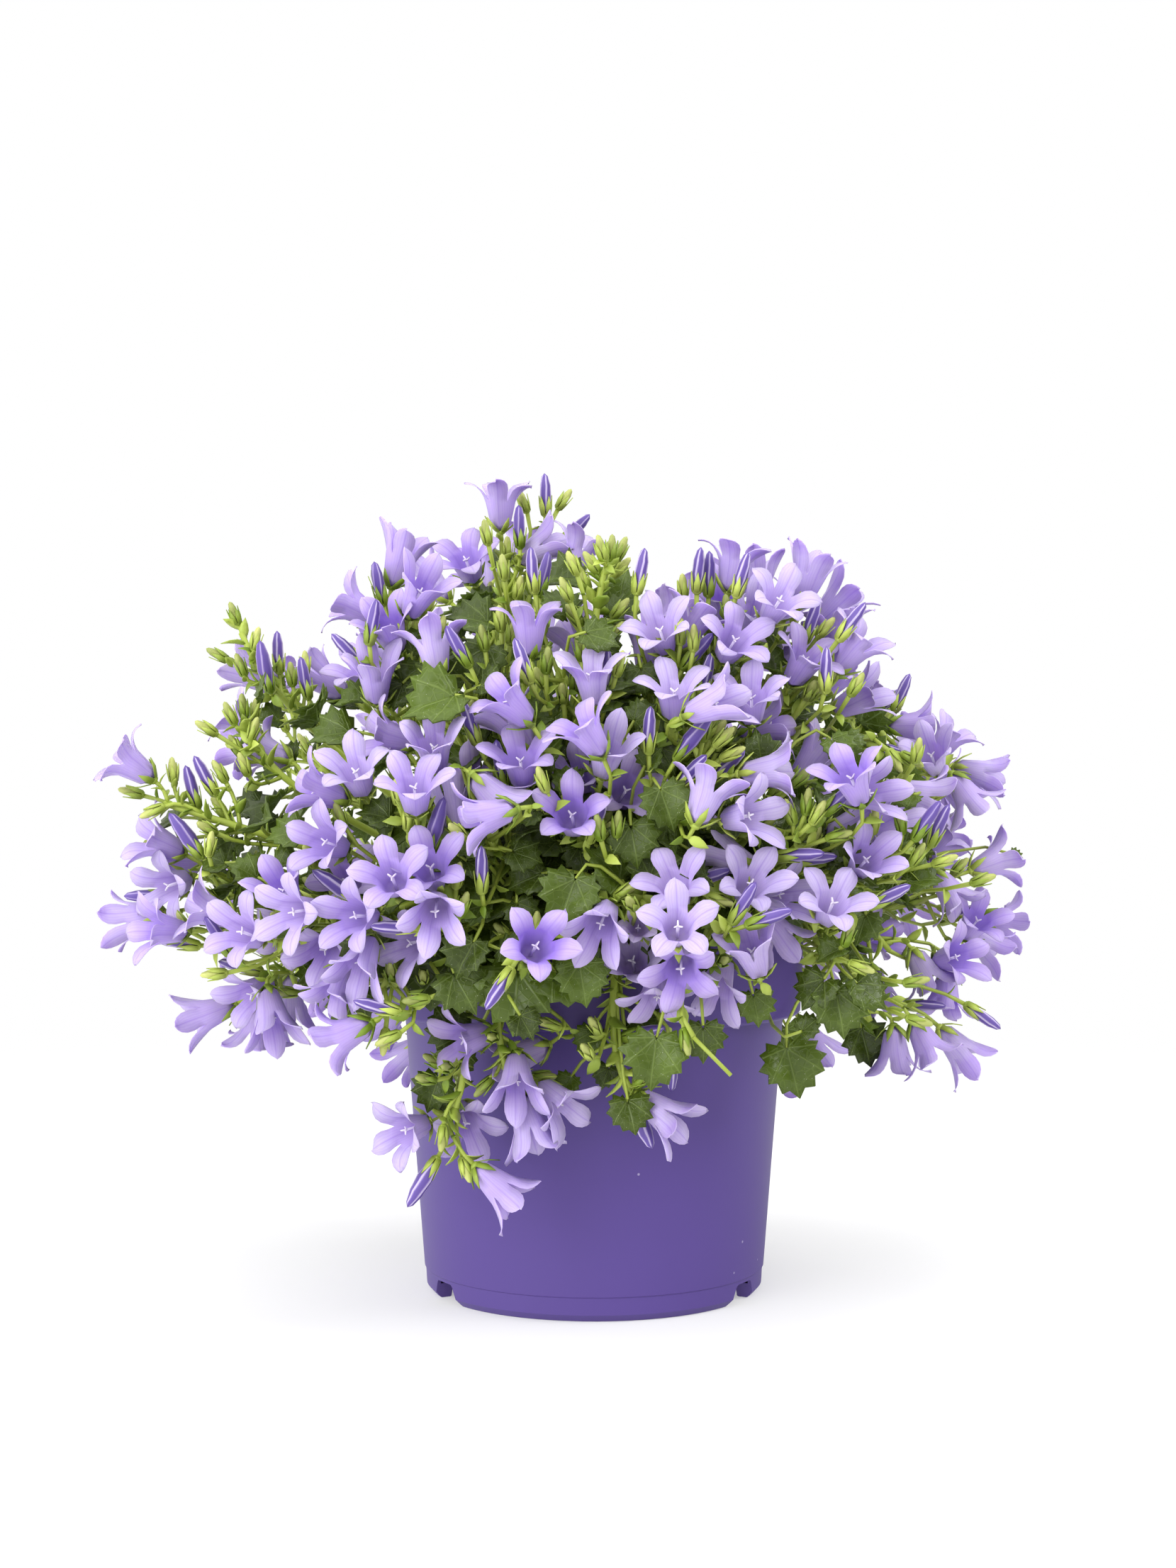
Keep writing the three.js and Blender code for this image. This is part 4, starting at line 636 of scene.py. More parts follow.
def bezier(points, t):
    while len(points) > 1:
        points = [between(a, b, t) for a, b in zip(points, points[1:])]
    return points[0]


def stem_controls(stem, lift, swing):
    """A stem rises from its root and leans out to its head. A low head is reached over the rim."""
    root, tip, via = stem["root"], stem["tip"], stem["via"]
    outward = normal_of((tip[0], tip[1], 0))
    sideways = (-outward[1], outward[0], 0)
    far = gap_of(tip, root)
    drop = max(0, 128 - tip[2])
    rise = along(along(root, UP, min(70, far * 0.4) + drop * 0.35 + lift), sideways, swing)
    reach = max(0, math.sqrt(tip[0] * tip[0] + tip[1] * tip[1]) - math.hypot(root[0], root[1]))
    lean = add(along(tip, outward, -0.3 * reach), (0, 0, drop * 0.8 + lift - (0 if drop else far * 0.15)))
    lean = along(lean, sideways, swing)
    return [root, rise, *via, tip] if via else [root, rise, lean, tip]


def stem_foot(stem):
    """The lower end of a stem, just above the bottom of its hole in the soil."""
    x, y, _ = stem["root"]
    return x, y, SOIL_TOP - HOLE_DEPTH + 0.5


def stem_line(stem, controls):
    spans = STEM_SPANS + 2 if stem["via"] else STEM_SPANS
    return [stem_foot(stem)] + [bezier(controls, i / spans) for i in range(spans + 1)]


def line_balls(line):
    return [ball for a, b in zip(line, line[1:]) for ball in balls_along(a, b, STEM_BALL, 3, 0, "stem")]


def place_stem(stem, owner, crowd):
    """Takes the first curve that is clear, or the one that is nearest to it."""
    best = math.inf
    for lift, swing in itertools.product(STEM_LIFTS, STEM_SWINGS):
        controls = stem_controls(stem, lift, swing)
        line = stem_line(stem, controls)
        worst = crowd.deepest(line_balls(line), owner, CLEARANCE)
        if worst < best:
            best, stem["line"], stem["controls"] = worst, line, controls
        if worst <= 0:
            break
    crowd.remember(line_balls(stem["line"]), owner)


def stalk_starts(stem, foot, direction):
    """Where on its stem an item's stalk may start, best first: near, and leaving the stem forwards."""
    starts = []
    for a, b in zip(stem["line"][1:], stem["line"][2:]):
        run = unit(a, b)
        length = gap_of(a, b)
        s = 1.2
        while s < length:
            at = between(a, b, s / length)
            s += 1.5
            if any(gap_of(taken, at) < START_SPACING for taken in stem["starts"]):
                continue
            stalk = unit(at, foot)
            cost = gap_of(at, foot) + 10 * (1 - dot(stalk, run)) + 8 * (1 - dot(stalk, direction))
            starts.append((cost, at))
    return [at for _, at in sorted(starts, key=lambda start: start[0])[:START_TRIES]]


def frame_of(direction, roll):
    """An item's frame: two directions square to its own axis, and the axis last."""
    first = turned_about(direction, math.radians(roll))
    return first, cross(direction, first), direction


def in_frame(frame, foot, x, y, z):
    return along(along(along(foot, frame[0], x), frame[1], y), frame[2], z)


def stalk_path(start, foot, direction):
    """A stalk that must turn sharply to its bloom bends at a knee just before it."""
    if dot(unit(start, foot), direction) > KNEE_TURN:
        return [start, foot]
    return [start, along(foot, direction, -KNEE), foot]


def stalk_balls(path):
    return [ball for i, (a, b) in enumerate(zip(path, path[1:]))
            for ball in balls_along(a, b, STALK_BALL, 2.5, 0 if i else 3.5, "stalk")]


def bloom_balls(foot, frame, scale):
    balls = [(in_frame(frame, foot, 0, 0, height * scale), radius * scale, "head")
             for height, radius in ((2.5, 2.2), (6.5, 3.6), (10.5, 4.8))]
    for i in range(5):
        turn = i * 2 * math.pi / 5
        for out, height, radius in ((7.2, 12.5, 2.4), (10.3, 15, 1.3)):
            x, y = math.cos(turn) * out * scale, math.sin(turn) * out * scale
            balls.append((in_frame(frame, foot, x, y, height * scale), radius * scale, "head"))
    return balls


def pose_item(item, point, roll):
    """The item's foot, where its stalk ends, its frame, and the balls of all but the stalk."""
    direction = item["direction"]
    if item["kind"] == "leaf":
        across = normal_of(cross(item["face"], direction))
        frame = (direction, across, cross(direction, across))
        size = item["size"]
        balls = [(point, LEAF_BALL, "head")]
        for i in range(8):
            turn = i * math.pi / 4
            at = in_frame(frame, point, math.cos(turn) * size * 0.4, math.sin(turn) * size * 0.4, 0)
            balls.append((at, LEAF_BALL, "head"))
        return along(point, direction, -size * LEAF_BASE), frame, balls
    frame = frame_of(direction, roll)
    if item["kind"] == "bloom":
        foot = along(point, direction, -TUBE_LENGTH * item["scale"])
        return foot, frame, bloom_balls(foot, frame, item["scale"])
    end = along(point, direction, BUD_LENGTHS[item["stage"]])
    return point, frame, balls_along(point, end, BUD_RADII[item["stage"]] + 0.3, 2.5, 1, "head")


def item_tries(item, stem):
    """An item moved a little aside, put at other depths and given other starts for its stalk."""
    across, upward = square_to(item["shift"])
    for right, up in NUDGES:
        moved = along(along(item["point"], across, right), upward, up)
        roll = item["roll"] + FULL_ROLL / 2 * ((right > 0) - (right < 0))
        for offset in OFFSETS[item["kind"]]:
            foot, frame, balls = pose_item(item, along(moved, item["shift"], offset), roll)
            for start in stalk_starts(stem, foot, item["direction"]):
                stalk = stalk_balls(stalk_path(start, foot, item["direction"]))
                yield dict(item, foot=foot, frame=frame, start=start, balls=balls + stalk)


def place_item(item, stem, owner, crowd):
    """Takes the first try that is clear, or the one that is nearest to it."""
    best = math.inf
    for tried in item_tries(item, stem):
        worst = crowd.deepest(tried["balls"], owner, CLEARANCE)
        if worst < best:
            best, found = worst, tried
        if best <= 0:
            break
    if item["kind"] != "bloom" and best > DROP_LIMIT:
        return
    crowd.remember(found["balls"], owner)
    stem["starts"].append(found["start"])
    stem["placed"].append(found)


def plan_plant():
    """The whole plant as the solids have it: stems first, then blooms, buds and leaves."""
    random = Random(SEED)
    stems = [plan_front_stem(*row, random) for row in FRONT_STEMS] + plan_back_stems(random)
    for stem in stems:
        flowering = [item for item in stem["items"] if item["kind"] != "leaf"]
        feet = [pose_item(item, item["point"], item["roll"])[0] for item in flowering]
        total = (0, 0, 0)
        for foot in feet:
            total = add(total, foot)
        mean = scaled(total, 1 / len(feet))
        stem["tip"] = stem["head"] or along(mean, unit(mean, CROWN), TIP_SETBACK)
        stem["placed"] = []
        stem["starts"] = []
    place_roots(stems)
    crowd = Crowd()
    for owner, stem in enumerate(stems):
        place_stem(stem, owner, crowd)
    for kind in ("bloom", "bud", "leaf"):
        for owner, stem in enumerate(stems):
            for item in stem["items"]:
                if item["kind"] == kind:
                    place_item(item, stem, owner, crowd)
    return stems, crowd


# finer growth between the solids, which the solids leave out

# Leaves and buds that are tried on every stem, more leaves on the leafy stems, and few on the open ones
FILL_LEAVES = 9
FILL_BUDS = 8
LEAFY_STEMS = ("upper_left_leaves", "upper_centre_left", "inner_left", "centre_bells", "left_shoulder")
LEAFY_FILL = 14
OPEN_STEMS = ("far_left_arm", "left_bud_spike", "left_low_spike", "upright", "front_trail", "left_trail",
              "centre_trail")
OPEN_FILL = 3
# How much an added leaf, and an added bud or bloom, may overlap its neighbours, and how far inside the
# mound's outline a bud or bloom must be
LEAF_OVERLAP = 1.4
FLOWER_OVERLAP = 0.5
FLOWER_ROOM = 9
FILL_OFFSETS = (0, 5, -4, 10)
# A back stem whose centre, on a ball of radius 1, is further back than this is filled with more growth
BEHIND = 0.35
BEHIND_BLOOMS = 3
LOW_LEAVES = 10
INNER_LEAVES = 9


def leaf_beside(stem, share, random):
    """A leaf on a short stalk beside its stem, which faces out of the mound and up."""
    spot = bezier(stem["controls"], share)
    out = normal_of((spot[0], spot[1], max(spot[2] - CROWN[2], 0) * 0.6 + 6))
    side = turned_about(out, random() * 2 * math.pi)
    face = normal_of(add(along(out, side, 0.35), (0, 0, 0.45)))
    lean = normal_of(along(side, out, 0.35))
    point = along(along(spot, side, 7 + random() * 8), out, random() * 6)
    return dict(kind="leaf", point=point, shift=scaled(out, -1), direction=lean, roll=0,
                size=9 + random() * 8, face=face)


def is_behind(stem):
    return stem.get("centre", (0, 0, 0))[1] > BEHIND


def fill_stem(stem, random):
    """Leaves and buds along a stem inside the mound, and on a stem at the back a few more blooms."""
    items = []
    leaves, buds = FILL_LEAVES, FILL_BUDS
    if stem["name"] in OPEN_STEMS:
        leaves = buds = OPEN_FILL
    elif stem["name"] in LEAFY_STEMS:
        leaves = LEAFY_FILL
    for i in range(leaves):
        items.append(leaf_beside(stem, 0.42 + 0.55 * (i + random()) / leaves, random))
    for _ in range(buds):
        spot = bezier(stem["controls"], 0.72 + 0.28 * random())
        out = normal_of((spot[0], spot[1], max(spot[2] - CROWN[2], 0) + 20))
        side = turned_about(out, random() * 2 * math.pi)
        point = along(along(spot, side, 3 + random() * 7), out, 2 + random() * 9)
        items.append(dict(kind="bud", point=point, shift=scaled(out, -1), roll=random() * FULL_ROLL, stage=0,
                          direction=normal_of(add(along(out, side, 0.6), (0, 0, 0.5)))))
    if is_behind(stem):
        for _ in range(BEHIND_BLOOMS):
            angle = random() * 2 * math.pi
            items.append(back_item(stem["centre"], "bloom", angle, 0.2 + random() * 0.06,
                                   0.96 + random() * 0.05, 0.3, random, scale=0.85 + random() * 0.15))
    return items


def inner_items(stem, random):
    buds, leaves = INNER_ITEMS.get(stem["name"], ([], []))
    row = (stem["name"], None, None, [], [], [(*bud, 0) for bud in buds], leaves)
    return plan_front_stem(*row, random)["items"]


def squeeze_in(item, stem, owner, crowd):
    """Puts an added item at the first depth where it has room, or leaves it out."""
    leaf = item["kind"] == "leaf"
    room = item["size"] * 0.5 if leaf else FLOWER_ROOM
    for offset in FILL_OFFSETS:
        point = along(item["point"], item["shift"], offset)
        foot, posed, balls = pose_item(item, point, item["roll"])
        starts = stalk_starts(stem, foot, item["direction"])
        if crest_room(point) < room:
            continue
        if starts and crowd.deepest(balls, owner, 0) <= (LEAF_OVERLAP if leaf else FLOWER_OVERLAP):
            crowd.remember(balls, owner)
            stem["starts"].append(starts[0])
            stem["placed"].append(dict(item, foot=foot, frame=posed, start=starts[0]))
            return


def add_low_leaves(stems, crowd, count, lowest, random):
    """Leaves along the lower part of some of the stems, given by their owner's number."""
    for owner, stem in stems:
        for _ in range(count):
            leaf = leaf_beside(stem, lowest + 0.45 * random(), random)
            squeeze_in(leaf, stem, owner, crowd)


def grow():
    """The plan of the solids, then the finer growth in the room that is left."""
    stems, crowd = plan_plant()
    random = Random(SEED + 1)
    for owner, stem in enumerate(stems):
        for item in inner_items(stem, random) + fill_stem(stem, random):
            squeeze_in(item, stem, owner, crowd)
    behind = [(owner, stem) for owner, stem in enumerate(stems) if is_behind(stem)]
    inside = [(owner, stem) for owner, stem in enumerate(stems)
              if "centre" not in stem and stem["name"] not in OPEN_STEMS]
    add_low_leaves(behind, crowd, LOW_LEAVES, 0.2, Random(SEED + 3))
    add_low_leaves(inside, crowd, INNER_LEAVES, 0.15, Random(SEED + 4))
    return stems


# shapes of one bloom, bud, calyx and leaf, in millimetres

STEM_SKIN, LEAF_UPPER, LEAF_UNDER, SEPAL_SKIN, BUD_SKIN = range(5)
PETAL_INSIDE, PETAL_OUTSIDE, FURLED_PETAL, STYLE_SKIN = range(4)


def start_shape():
    """A bmesh with what the finishes read: places on a petal or leaf, and a tone for each of them."""
    bm = bmesh.new()
    bm.loops.layers.uv.new("surface")
    bm.verts.layers.float.new("tone")
    return bm


def mesh_of(bm, name, smooth=True):
    """Turns a bmesh into a mesh with smooth or flat faces."""
    for face in bm.faces:
        face.smooth = smooth
    mesh = bpy.data.meshes.new(name)
    bm.to_mesh(mesh)
    bm.free()
    return mesh


# Points of a spun shape that are closer than this many millimetres become one
WELD = 0.02


def draw_profile(bm, outline, unit_length=1):
    """Draws an outline of radius and height as points joined by edges."""
    verts = [bm.verts.new((radius * unit_length, 0, height * unit_length)) for radius, height in outline]
    return verts, [bm.edges.new(pair) for pair in zip(verts, verts[1:])]


def spin_profile(bm, geom, steps, unit_length=1):
    """Spins points and edges all the way round into a closed shape."""
    before = set(bm.faces)
    bmesh.ops.spin(bm, geom=geom, axis=(0, 0, 1), cent=(0, 0, 0), angle=math.tau, steps=steps, use_merge=True)
    bmesh.ops.remove_doubles(bm, verts=bm.verts, dist=WELD * unit_length)
    made = [face for face in bm.faces if face not in before]
    bmesh.ops.recalc_face_normals(bm, faces=made)
    return made


def lathe_shape(bm, profile, sides, skin):
    verts, edges = draw_profile(bm, profile)
    made = spin_profile(bm, verts + edges, sides)
    for face in made:
        face.material_index = skin
    return made


def thicken(bm, wall, front, back):
    """Gives a sheet its thickness. The side it faces and its edges have one skin, its back the other."""
    made = bmesh.ops.solidify(bm, geom=bm.faces[:], thickness=wall)["geom"]
    for face in bm.faces:
        face.material_index = front
    for face in [part for part in made if isinstance(part, bmesh.types.BMFace)]:
        face.material_index = back


def on_path(path, t):
    """The place and the run at a share of a smooth path of radius and height."""
    points = [(x, 0.0, z) for x, z in path]
    spot = bezier(points, t)
    return spot, unit(spot, bezier(points, min(t + 0.01, 1.01)))


# A petal runs up the tube and out along its lobe. Its rows of points stand at shares of the tube's path,
# then at shares of the lobe's, where each has its half width.
TUBE_PATH = ((0.02, 0.2), (3.9, -0.3), (3.1, 5.5), (4.5, 9.2))
MOUTH = TUBE_PATH[-1]
LOBE_PATHS = {
    "star": (MOUTH, (6.0, 12.2), (8.8, 15.0), (12.2, 13.9)),
    "open": (MOUTH, (5.6, 12.6), (7.6, 15.8), (11.8, 15.4)),
    "bell": (MOUTH, (5.2, 12.4), (6.0, 16.6), (10.2, 18.0)),
}
TUBE_ROWS = (0, 0.42, 1)
LOBE_ROWS = ((0.2, 2.8), (0.42, 3.3), (0.63, 3.25), (0.81, 2.5), (0.93, 1.4), (1, 0.02))
PETAL_STEPS = len(TUBE_ROWS) + len(LOBE_ROWS) - 1
PETAL_WALL = 0.2
PETAL_GROOVE = 0.3
MOUTH_CUP = 0.86
LOBE_CURL = 0.5
HALF_PETAL = math.radians(36)


def petal_point(side, row, lobe, twist):
    """A point of one petal, from -1 to 1 across it."""
    if row < len(TUBE_ROWS):
        spot, run = on_path(TUBE_PATH, TUBE_ROWS[row])
        width = spot[0] * math.sin(HALF_PETAL)
        cup = spot[0] * (1 - math.cos(HALF_PETAL))
        t = 0
    else:
        t, width = LOBE_ROWS[row - len(TUBE_ROWS)]
        spot, run = on_path(lobe, t)
        cup = MOUTH_CUP * (1 - t) ** 2 - LOBE_CURL * t * (1 - t)
    inward = (-run[2], 0, run[0])
    bend = twist * t
    groove = PETAL_GROOVE * (1 - abs(side)) * (1 - row / PETAL_STEPS)
    place = along(spot, inward, cup * side * side + bend * side * 0.8 - groove)
    return Vector((place[0], side * width + bend, place[2]))


def bloom_mesh(name, lobe, seed):
    """A bell of five petals that join in a tube, each bent a little in its own way, and its style."""
    random = Random(seed)
    bm = start_shape()
    bmesh.ops.create_grid(bm, x_segments=2, y_segments=PETAL_STEPS, size=1, calc_uvs=True)
    petal = bm.faces[:]
    for _ in range(4):
        bmesh.ops.duplicate(bm, geom=petal)
    bm.faces.ensure_lookup_table()
    count = len(petal)
    for i in range(5):
        lift, bend = random() - 0.5, random() - 0.5
        path = [lobe[0], lobe[1]] + [(x + lift * 0.5, z + lift * k) for k, (x, z) in zip((1.2, 3), lobe[2:])]
        turned = Matrix.Rotation(i * math.tau / 5, 3, "Z")
        for vert in {vert for face in bm.faces[i * count:(i + 1) * count] for vert in face.verts}:
            row = round((vert.co.y + 1) / 2 * PETAL_STEPS)
            vert.co = turned @ petal_point(vert.co.x, row, path, bend * 1.5)
    bmesh.ops.remove_doubles(bm, verts=bm.verts, dist=0.08)
    bmesh.ops.recalc_face_normals(bm, faces=bm.faces[:])
    tube = [face for face in bm.faces if face.calc_center_median().z < MOUTH[1]]
    if sum(face.normal.dot(face.calc_center_median()) * face.calc_area() for face in tube) > 0:
        bmesh.ops.reverse_faces(bm, faces=bm.faces[:])
    thicken(bm, PETAL_WALL, PETAL_INSIDE, PETAL_OUTSIDE)
    add_style(bm)
    return mesh_of(bm, name)


STYLE_FOOT = 0.6
STYLE_LENGTH = 9
STYLE_RADII = (0.4, 0.5)
ARM_PLACE = (0.6, 0, 9.9)
ARM_LENGTH = 1.9
ARM_RADII = (0.5, 0.25)
ARM_LEAN = math.radians(52)


def add_style(bm):
    """The pale style, which ends in three short arms."""
    rods = [(Matrix.Translation((0, 0, STYLE_FOOT + STYLE_LENGTH / 2)), 4, STYLE_RADII, STYLE_LENGTH)]
    for i in range(3):
        arm = Matrix.Rotation(i * math.tau / 3, 4, "Z") @ Matrix.Translation(ARM_PLACE)
        rods.append((arm @ Matrix.Rotation(ARM_LEAN, 4, "Y"), 3, ARM_RADII, ARM_LENGTH))
    for matrix, sides, (low, high), length in rods:
        rod = bmesh.ops.create_cone(bm, cap_ends=True, segments=sides, radius1=low, radius2=high,
                                    depth=length, matrix=matrix)
        for face in {face for vert in rod["verts"] for face in vert.link_faces}:
            face.material_index = STYLE_SKIN


BUD_SIDES = 10
PLEAT = 0.1
BUD_TWIST = 0.5


def bud_mesh(name, length, radius, skin, flare):
    """A closed bud with five pleats that wind to its tip. Its UV runs round it and along it."""
    bm = start_shape()
    profile = [(radius * math.sin(math.pi * min(t * 0.86 + 0.06, 1)) ** 0.75 * (1 - flare * t), t * length)
               for t in (0.12, 0.4, 0.7, 0.92)]
    made = lathe_shape(bm, [(0, 0.2), *profile, (0, length)], BUD_SIDES, skin)
    uv = bm.loops.layers.uv["surface"]
    for face in made:
        middle = face.calc_center_median()
        facing = math.atan2(middle.y, middle.x)
        for loop in face.loops:
            co = loop.vert.co
            angle = math.atan2(co.y, co.x) if abs(co.x) + abs(co.y) > 0.01 else facing
            angle += math.tau * round((facing - angle) / math.tau)
            loop[uv].uv = (angle / math.tau, co.z / length)
    for vert in bm.verts:
        swell = 1 + PLEAT * math.cos(5 * math.atan2(vert.co.y, vert.co.x))
        turn = Matrix.Rotation(BUD_TWIST * vert.co.z / length, 3, "Z")
        vert.co = turn @ Vector((vert.co.x * swell, vert.co.y * swell, vert.co.z))
    return mesh_of(bm, name)


# Shares of a sepal's length, with its half width there, and the cup that the sepals stand on
SEPAL_ROWS = ((0, 0.85), (0.45, 0.95), (1, 0.02))
SEPAL_WALL = 0.3
SEPAL_CIRCLE = 1.45
CALYX_CUP = ((0, -1.3), (1.2, -0.8), (1.8, 0), (0, 0.15))


def calyx_mesh(name, reach, spread):
    """The green cup under a bloom or bud, with five narrow pointed sepals that lean out by their spread."""
    bm = start_shape()
    for i in range(5):
        turned = Matrix.Rotation((i + 0.5) * math.tau / 5, 3, "Z")
        for vert in bmesh.ops.create_grid(bm, x_segments=1, y_segments=2, size=1)["verts"]:
            share, width = SEPAL_ROWS[round(vert.co.y + 1)]
            out = SEPAL_CIRCLE + spread * share ** 0.75
            vert.co = turned @ Vector((out, vert.co.x * width, reach * share - SEPAL_WALL))
    bmesh.ops.remove_doubles(bm, verts=bm.verts, dist=0.06)
    thicken(bm, SEPAL_WALL, SEPAL_SKIN, SEPAL_SKIN)
    lathe_shape(bm, CALYX_CUP, 5, SEPAL_SKIN)
    return mesh_of(bm, name)


LEAF_TEETH = 13
LEAF_WALL = 0.03
# The reach of a leaf's smooth edge from its middle, by degrees from its tip, for a leaf of size 1
LEAF_EDGE = ((0, 0.6), (33, 0.53), (68, 0.53), (120, 0.47), (160, 0.36), (180, 0.17))
TOOTH_REACH = (1.08, 0.86)
TOOTH_FOLD = (0.018, -0.022)


def leaf_reach(angle):
    side = abs(math.degrees(angle))
    for (start, low), (end, high) in zip(LEAF_EDGE, LEAF_EDGE[1:]):
        if side <= end:
            t = (side - start) / (end - start)
            return low + (high - low) * (t * t * (3 - 2 * t))
    return LEAF_EDGE[-1][1]


def leaf_mesh(name, seed):
    """A kidney-shaped leaf with a toothed edge and folded palmate veins, and its stalk end at -LEAF_BASE."""
    random = Random(seed)
    bm = start_shape()
    count = 2 * LEAF_TEETH
    bmesh.ops.create_circle(bm, cap_ends=True, cap_tris=True, segments=count, radius=1)
    spokes = [edge for edge in bm.edges if min(vert.co.length for vert in edge.verts) < 0.1]
    bmesh.ops.subdivide_edges(bm, edges=spokes, cuts=1)
    lean, wave, crease = (random() - 0.5) * 0.5, random() * math.tau, 0.12 + random() * 0.4
    for vert in bm.verts:
        out = vert.co.length
        if out < 0.01:
            vert.co = (-0.06, 0, -0.02)
            continue
        rim = out > 0.9
        angle = math.atan2(vert.co.x, -vert.co.y)
        valley = round(angle / math.tau * count) % 2
        edge = leaf_reach(angle) * TOOTH_REACH[valley] * (1 + 0.06 * (random() - 0.5))
        reach = edge if rim else leaf_reach(angle) * 0.5
        angle += 0.05 * (random() - 0.5)
        fold = TOOTH_FOLD[valley] * (1 if rim else 0.8)
        x, y = math.cos(angle) * reach, math.sin(angle) * reach
        ripple = 0.06 * math.sin(3 * angle + wave) * out
        vert.co = (x, y, abs(y) * crease - x * x * 0.35 + fold + ripple + lean * x * y)
    uv = bm.loops.layers.uv["surface"]
    for face in bm.faces:
        for loop in face.loops:
            loop[uv].uv = (loop.vert.co.x + 0.5, loop.vert.co.y + 0.5)
    bmesh.ops.recalc_face_normals(bm, faces=bm.faces[:])
    if sum(face.normal.z for face in bm.faces) < 0:
        bmesh.ops.reverse_faces(bm, faces=bm.faces[:])
    thicken(bm, LEAF_WALL, LEAF_UPPER, LEAF_UNDER)
    return mesh_of(bm, name)


# Shares of a bract's length, with its half width there
BRACT_ROWS = ((0, 0.4), (0.22, 1.45), (0.45, 1.8), (0.72, 1.25), (1, 0.02))
BRACT_STEPS = len(BRACT_ROWS) - 1
BRACT_LENGTH = 7
BRACT_ARCH = 1.8
BRACT_FOLD = 0.45


def bract_mesh(name):
    """A small pointed leaf, folded along its middle, such as stand along a flowering stem."""
    bm = start_shape()
    bmesh.ops.create_grid(bm, x_segments=2, y_segments=BRACT_STEPS, size=1)
    for vert in bm.verts:
        share, width = BRACT_ROWS[round((vert.co.y + 1) / 2 * BRACT_STEPS)]
        side = vert.co.x
        arch = BRACT_ARCH * share * share - BRACT_FOLD * abs(side) * width
        vert.co = (arch, side * width, share * BRACT_LENGTH)
    bmesh.ops.remove_doubles(bm, verts=bm.verts, dist=0.06)
    thicken(bm, PETAL_WALL, SEPAL_SKIN, SEPAL_SKIN)
    return mesh_of(bm, name)


BLOOM_VARIANTS = 3
LEAF_VARIANTS = 8


def make_shapes():
    """Every shape that the plant repeats."""
    shapes = {sort: [bloom_mesh(f"{sort}_{k}", lobe, 40 + 10 * i + k) for k in range(BLOOM_VARIANTS)]
              for i, (sort, lobe) in enumerate(LOBE_PATHS.items())}
    shapes["buds"] = [bud_mesh("green_bud", 7, 1.3, BUD_SKIN, 0.1),
                      bud_mesh("striped_bud", 12.5, 1.75, FURLED_PETAL, 0),
                      bud_mesh("opening_bud", 15.5, 2.6, FURLED_PETAL, 0.25)]
    shapes["calyces"] = [calyx_mesh("bud_calyx", 6.2, 0.9), calyx_mesh("bloom_calyx", 4.6, 4.4)]
    shapes["leaves"] = [leaf_mesh(f"leaf_{i}", 70 + i) for i in range(LEAF_VARIANTS)]
    shapes["bracts"] = [bract_mesh("bract")]
    return shapes


# pieces put together from the shapes

BRACTS = 14
BRACT_TURN = 2.4
STEM_RADII = (1.35, 0.9)
STEM_RINGS = 12
STEM_SIDES = 7
STALK_SIDES = 5
LEAF_STALK_RADII = (0.75, 0.6, 0.55, 0.5, 0.45)
BLOOM_STALK_RADII = (0.8, 0.62, 0.58, 0.6, 0.75)
BARE_END_RADII = (0.6, 0.55)
BARE_END_SIDES = 6
BLOOM_SIZE = 0.95
CALYX_SIZES = (0.85, 0.95, 0.95)


def put(bm, shape, place, foot, size, tone):
    """Adds a copy of a shape, in its own frame at its foot."""
    copied = shape.copy()
    copied.transform(Matrix([[place[column][row] * size * MM for column in range(3)] + [foot[row] * MM]
                             for row in range(3)] + [[0, 0, 0, 1]]))
    values = np.full(len(copied.vertices), tone, np.float32)
    copied.attributes["tone"].data.foreach_set("value", values)
    bm.from_mesh(copied)
    bpy.data.meshes.remove(copied)


def add_tube(bm, path, radii, sides):
    """A round tube along a path of points: a grid rolled up round the path and closed at both ends."""
    rings = len(path) - 1
    runs = [unit(path[max(i - 1, 0)], path[min(i + 1, rings)]) for i in range(len(path))]
    first = square_to(runs[0])[0]
    places = []
    for point, run, radius in zip(path, runs, radii):
        first = normal_of(along(first, run, -dot(first, run)))
        second = cross(run, first)
        for i in range(sides + 1):
            turn = i % sides * math.tau / sides
            place = along(along(point, first, math.cos(turn) * radius), second, math.sin(turn) * radius)
            places.append(scaled(place, MM))
    made = bmesh.ops.create_grid(bm, x_segments=sides, y_segments=rings, size=1)["verts"]
    faces = list({face for vert in made for face in vert.link_faces})
    for vert in made:
        i, j = round((vert.co.x + 1) / 2 * sides), round((vert.co.y + 1) / 2 * rings)
        vert.co = places[j * (sides + 1) + i]
    bmesh.ops.remove_doubles(bm, verts=made, dist=1e-7)
    made = list({vert for face in faces for vert in face.verts})
    rims = list({edge for vert in made for edge in vert.link_edges if len(edge.link_faces) == 1})
    faces += bmesh.ops.edgeloop_fill(bm, edges=rims)["faces"]
    bmesh.ops.recalc_face_normals(bm, faces=faces)
    for face in faces:
        face.material_index = STEM_SKIN


def put_bract(bm, shape, spot, run, turn, size, tone):
    """A small pointed leaf that leans out from its stem or stalk."""
    side = turned_about(run, turn)
    axis = normal_of(along(run, side, 1.1))
    third = normal_of(cross(axis, side))
    put(bm, shape, (cross(third, axis), third, axis), spot, size, tone)


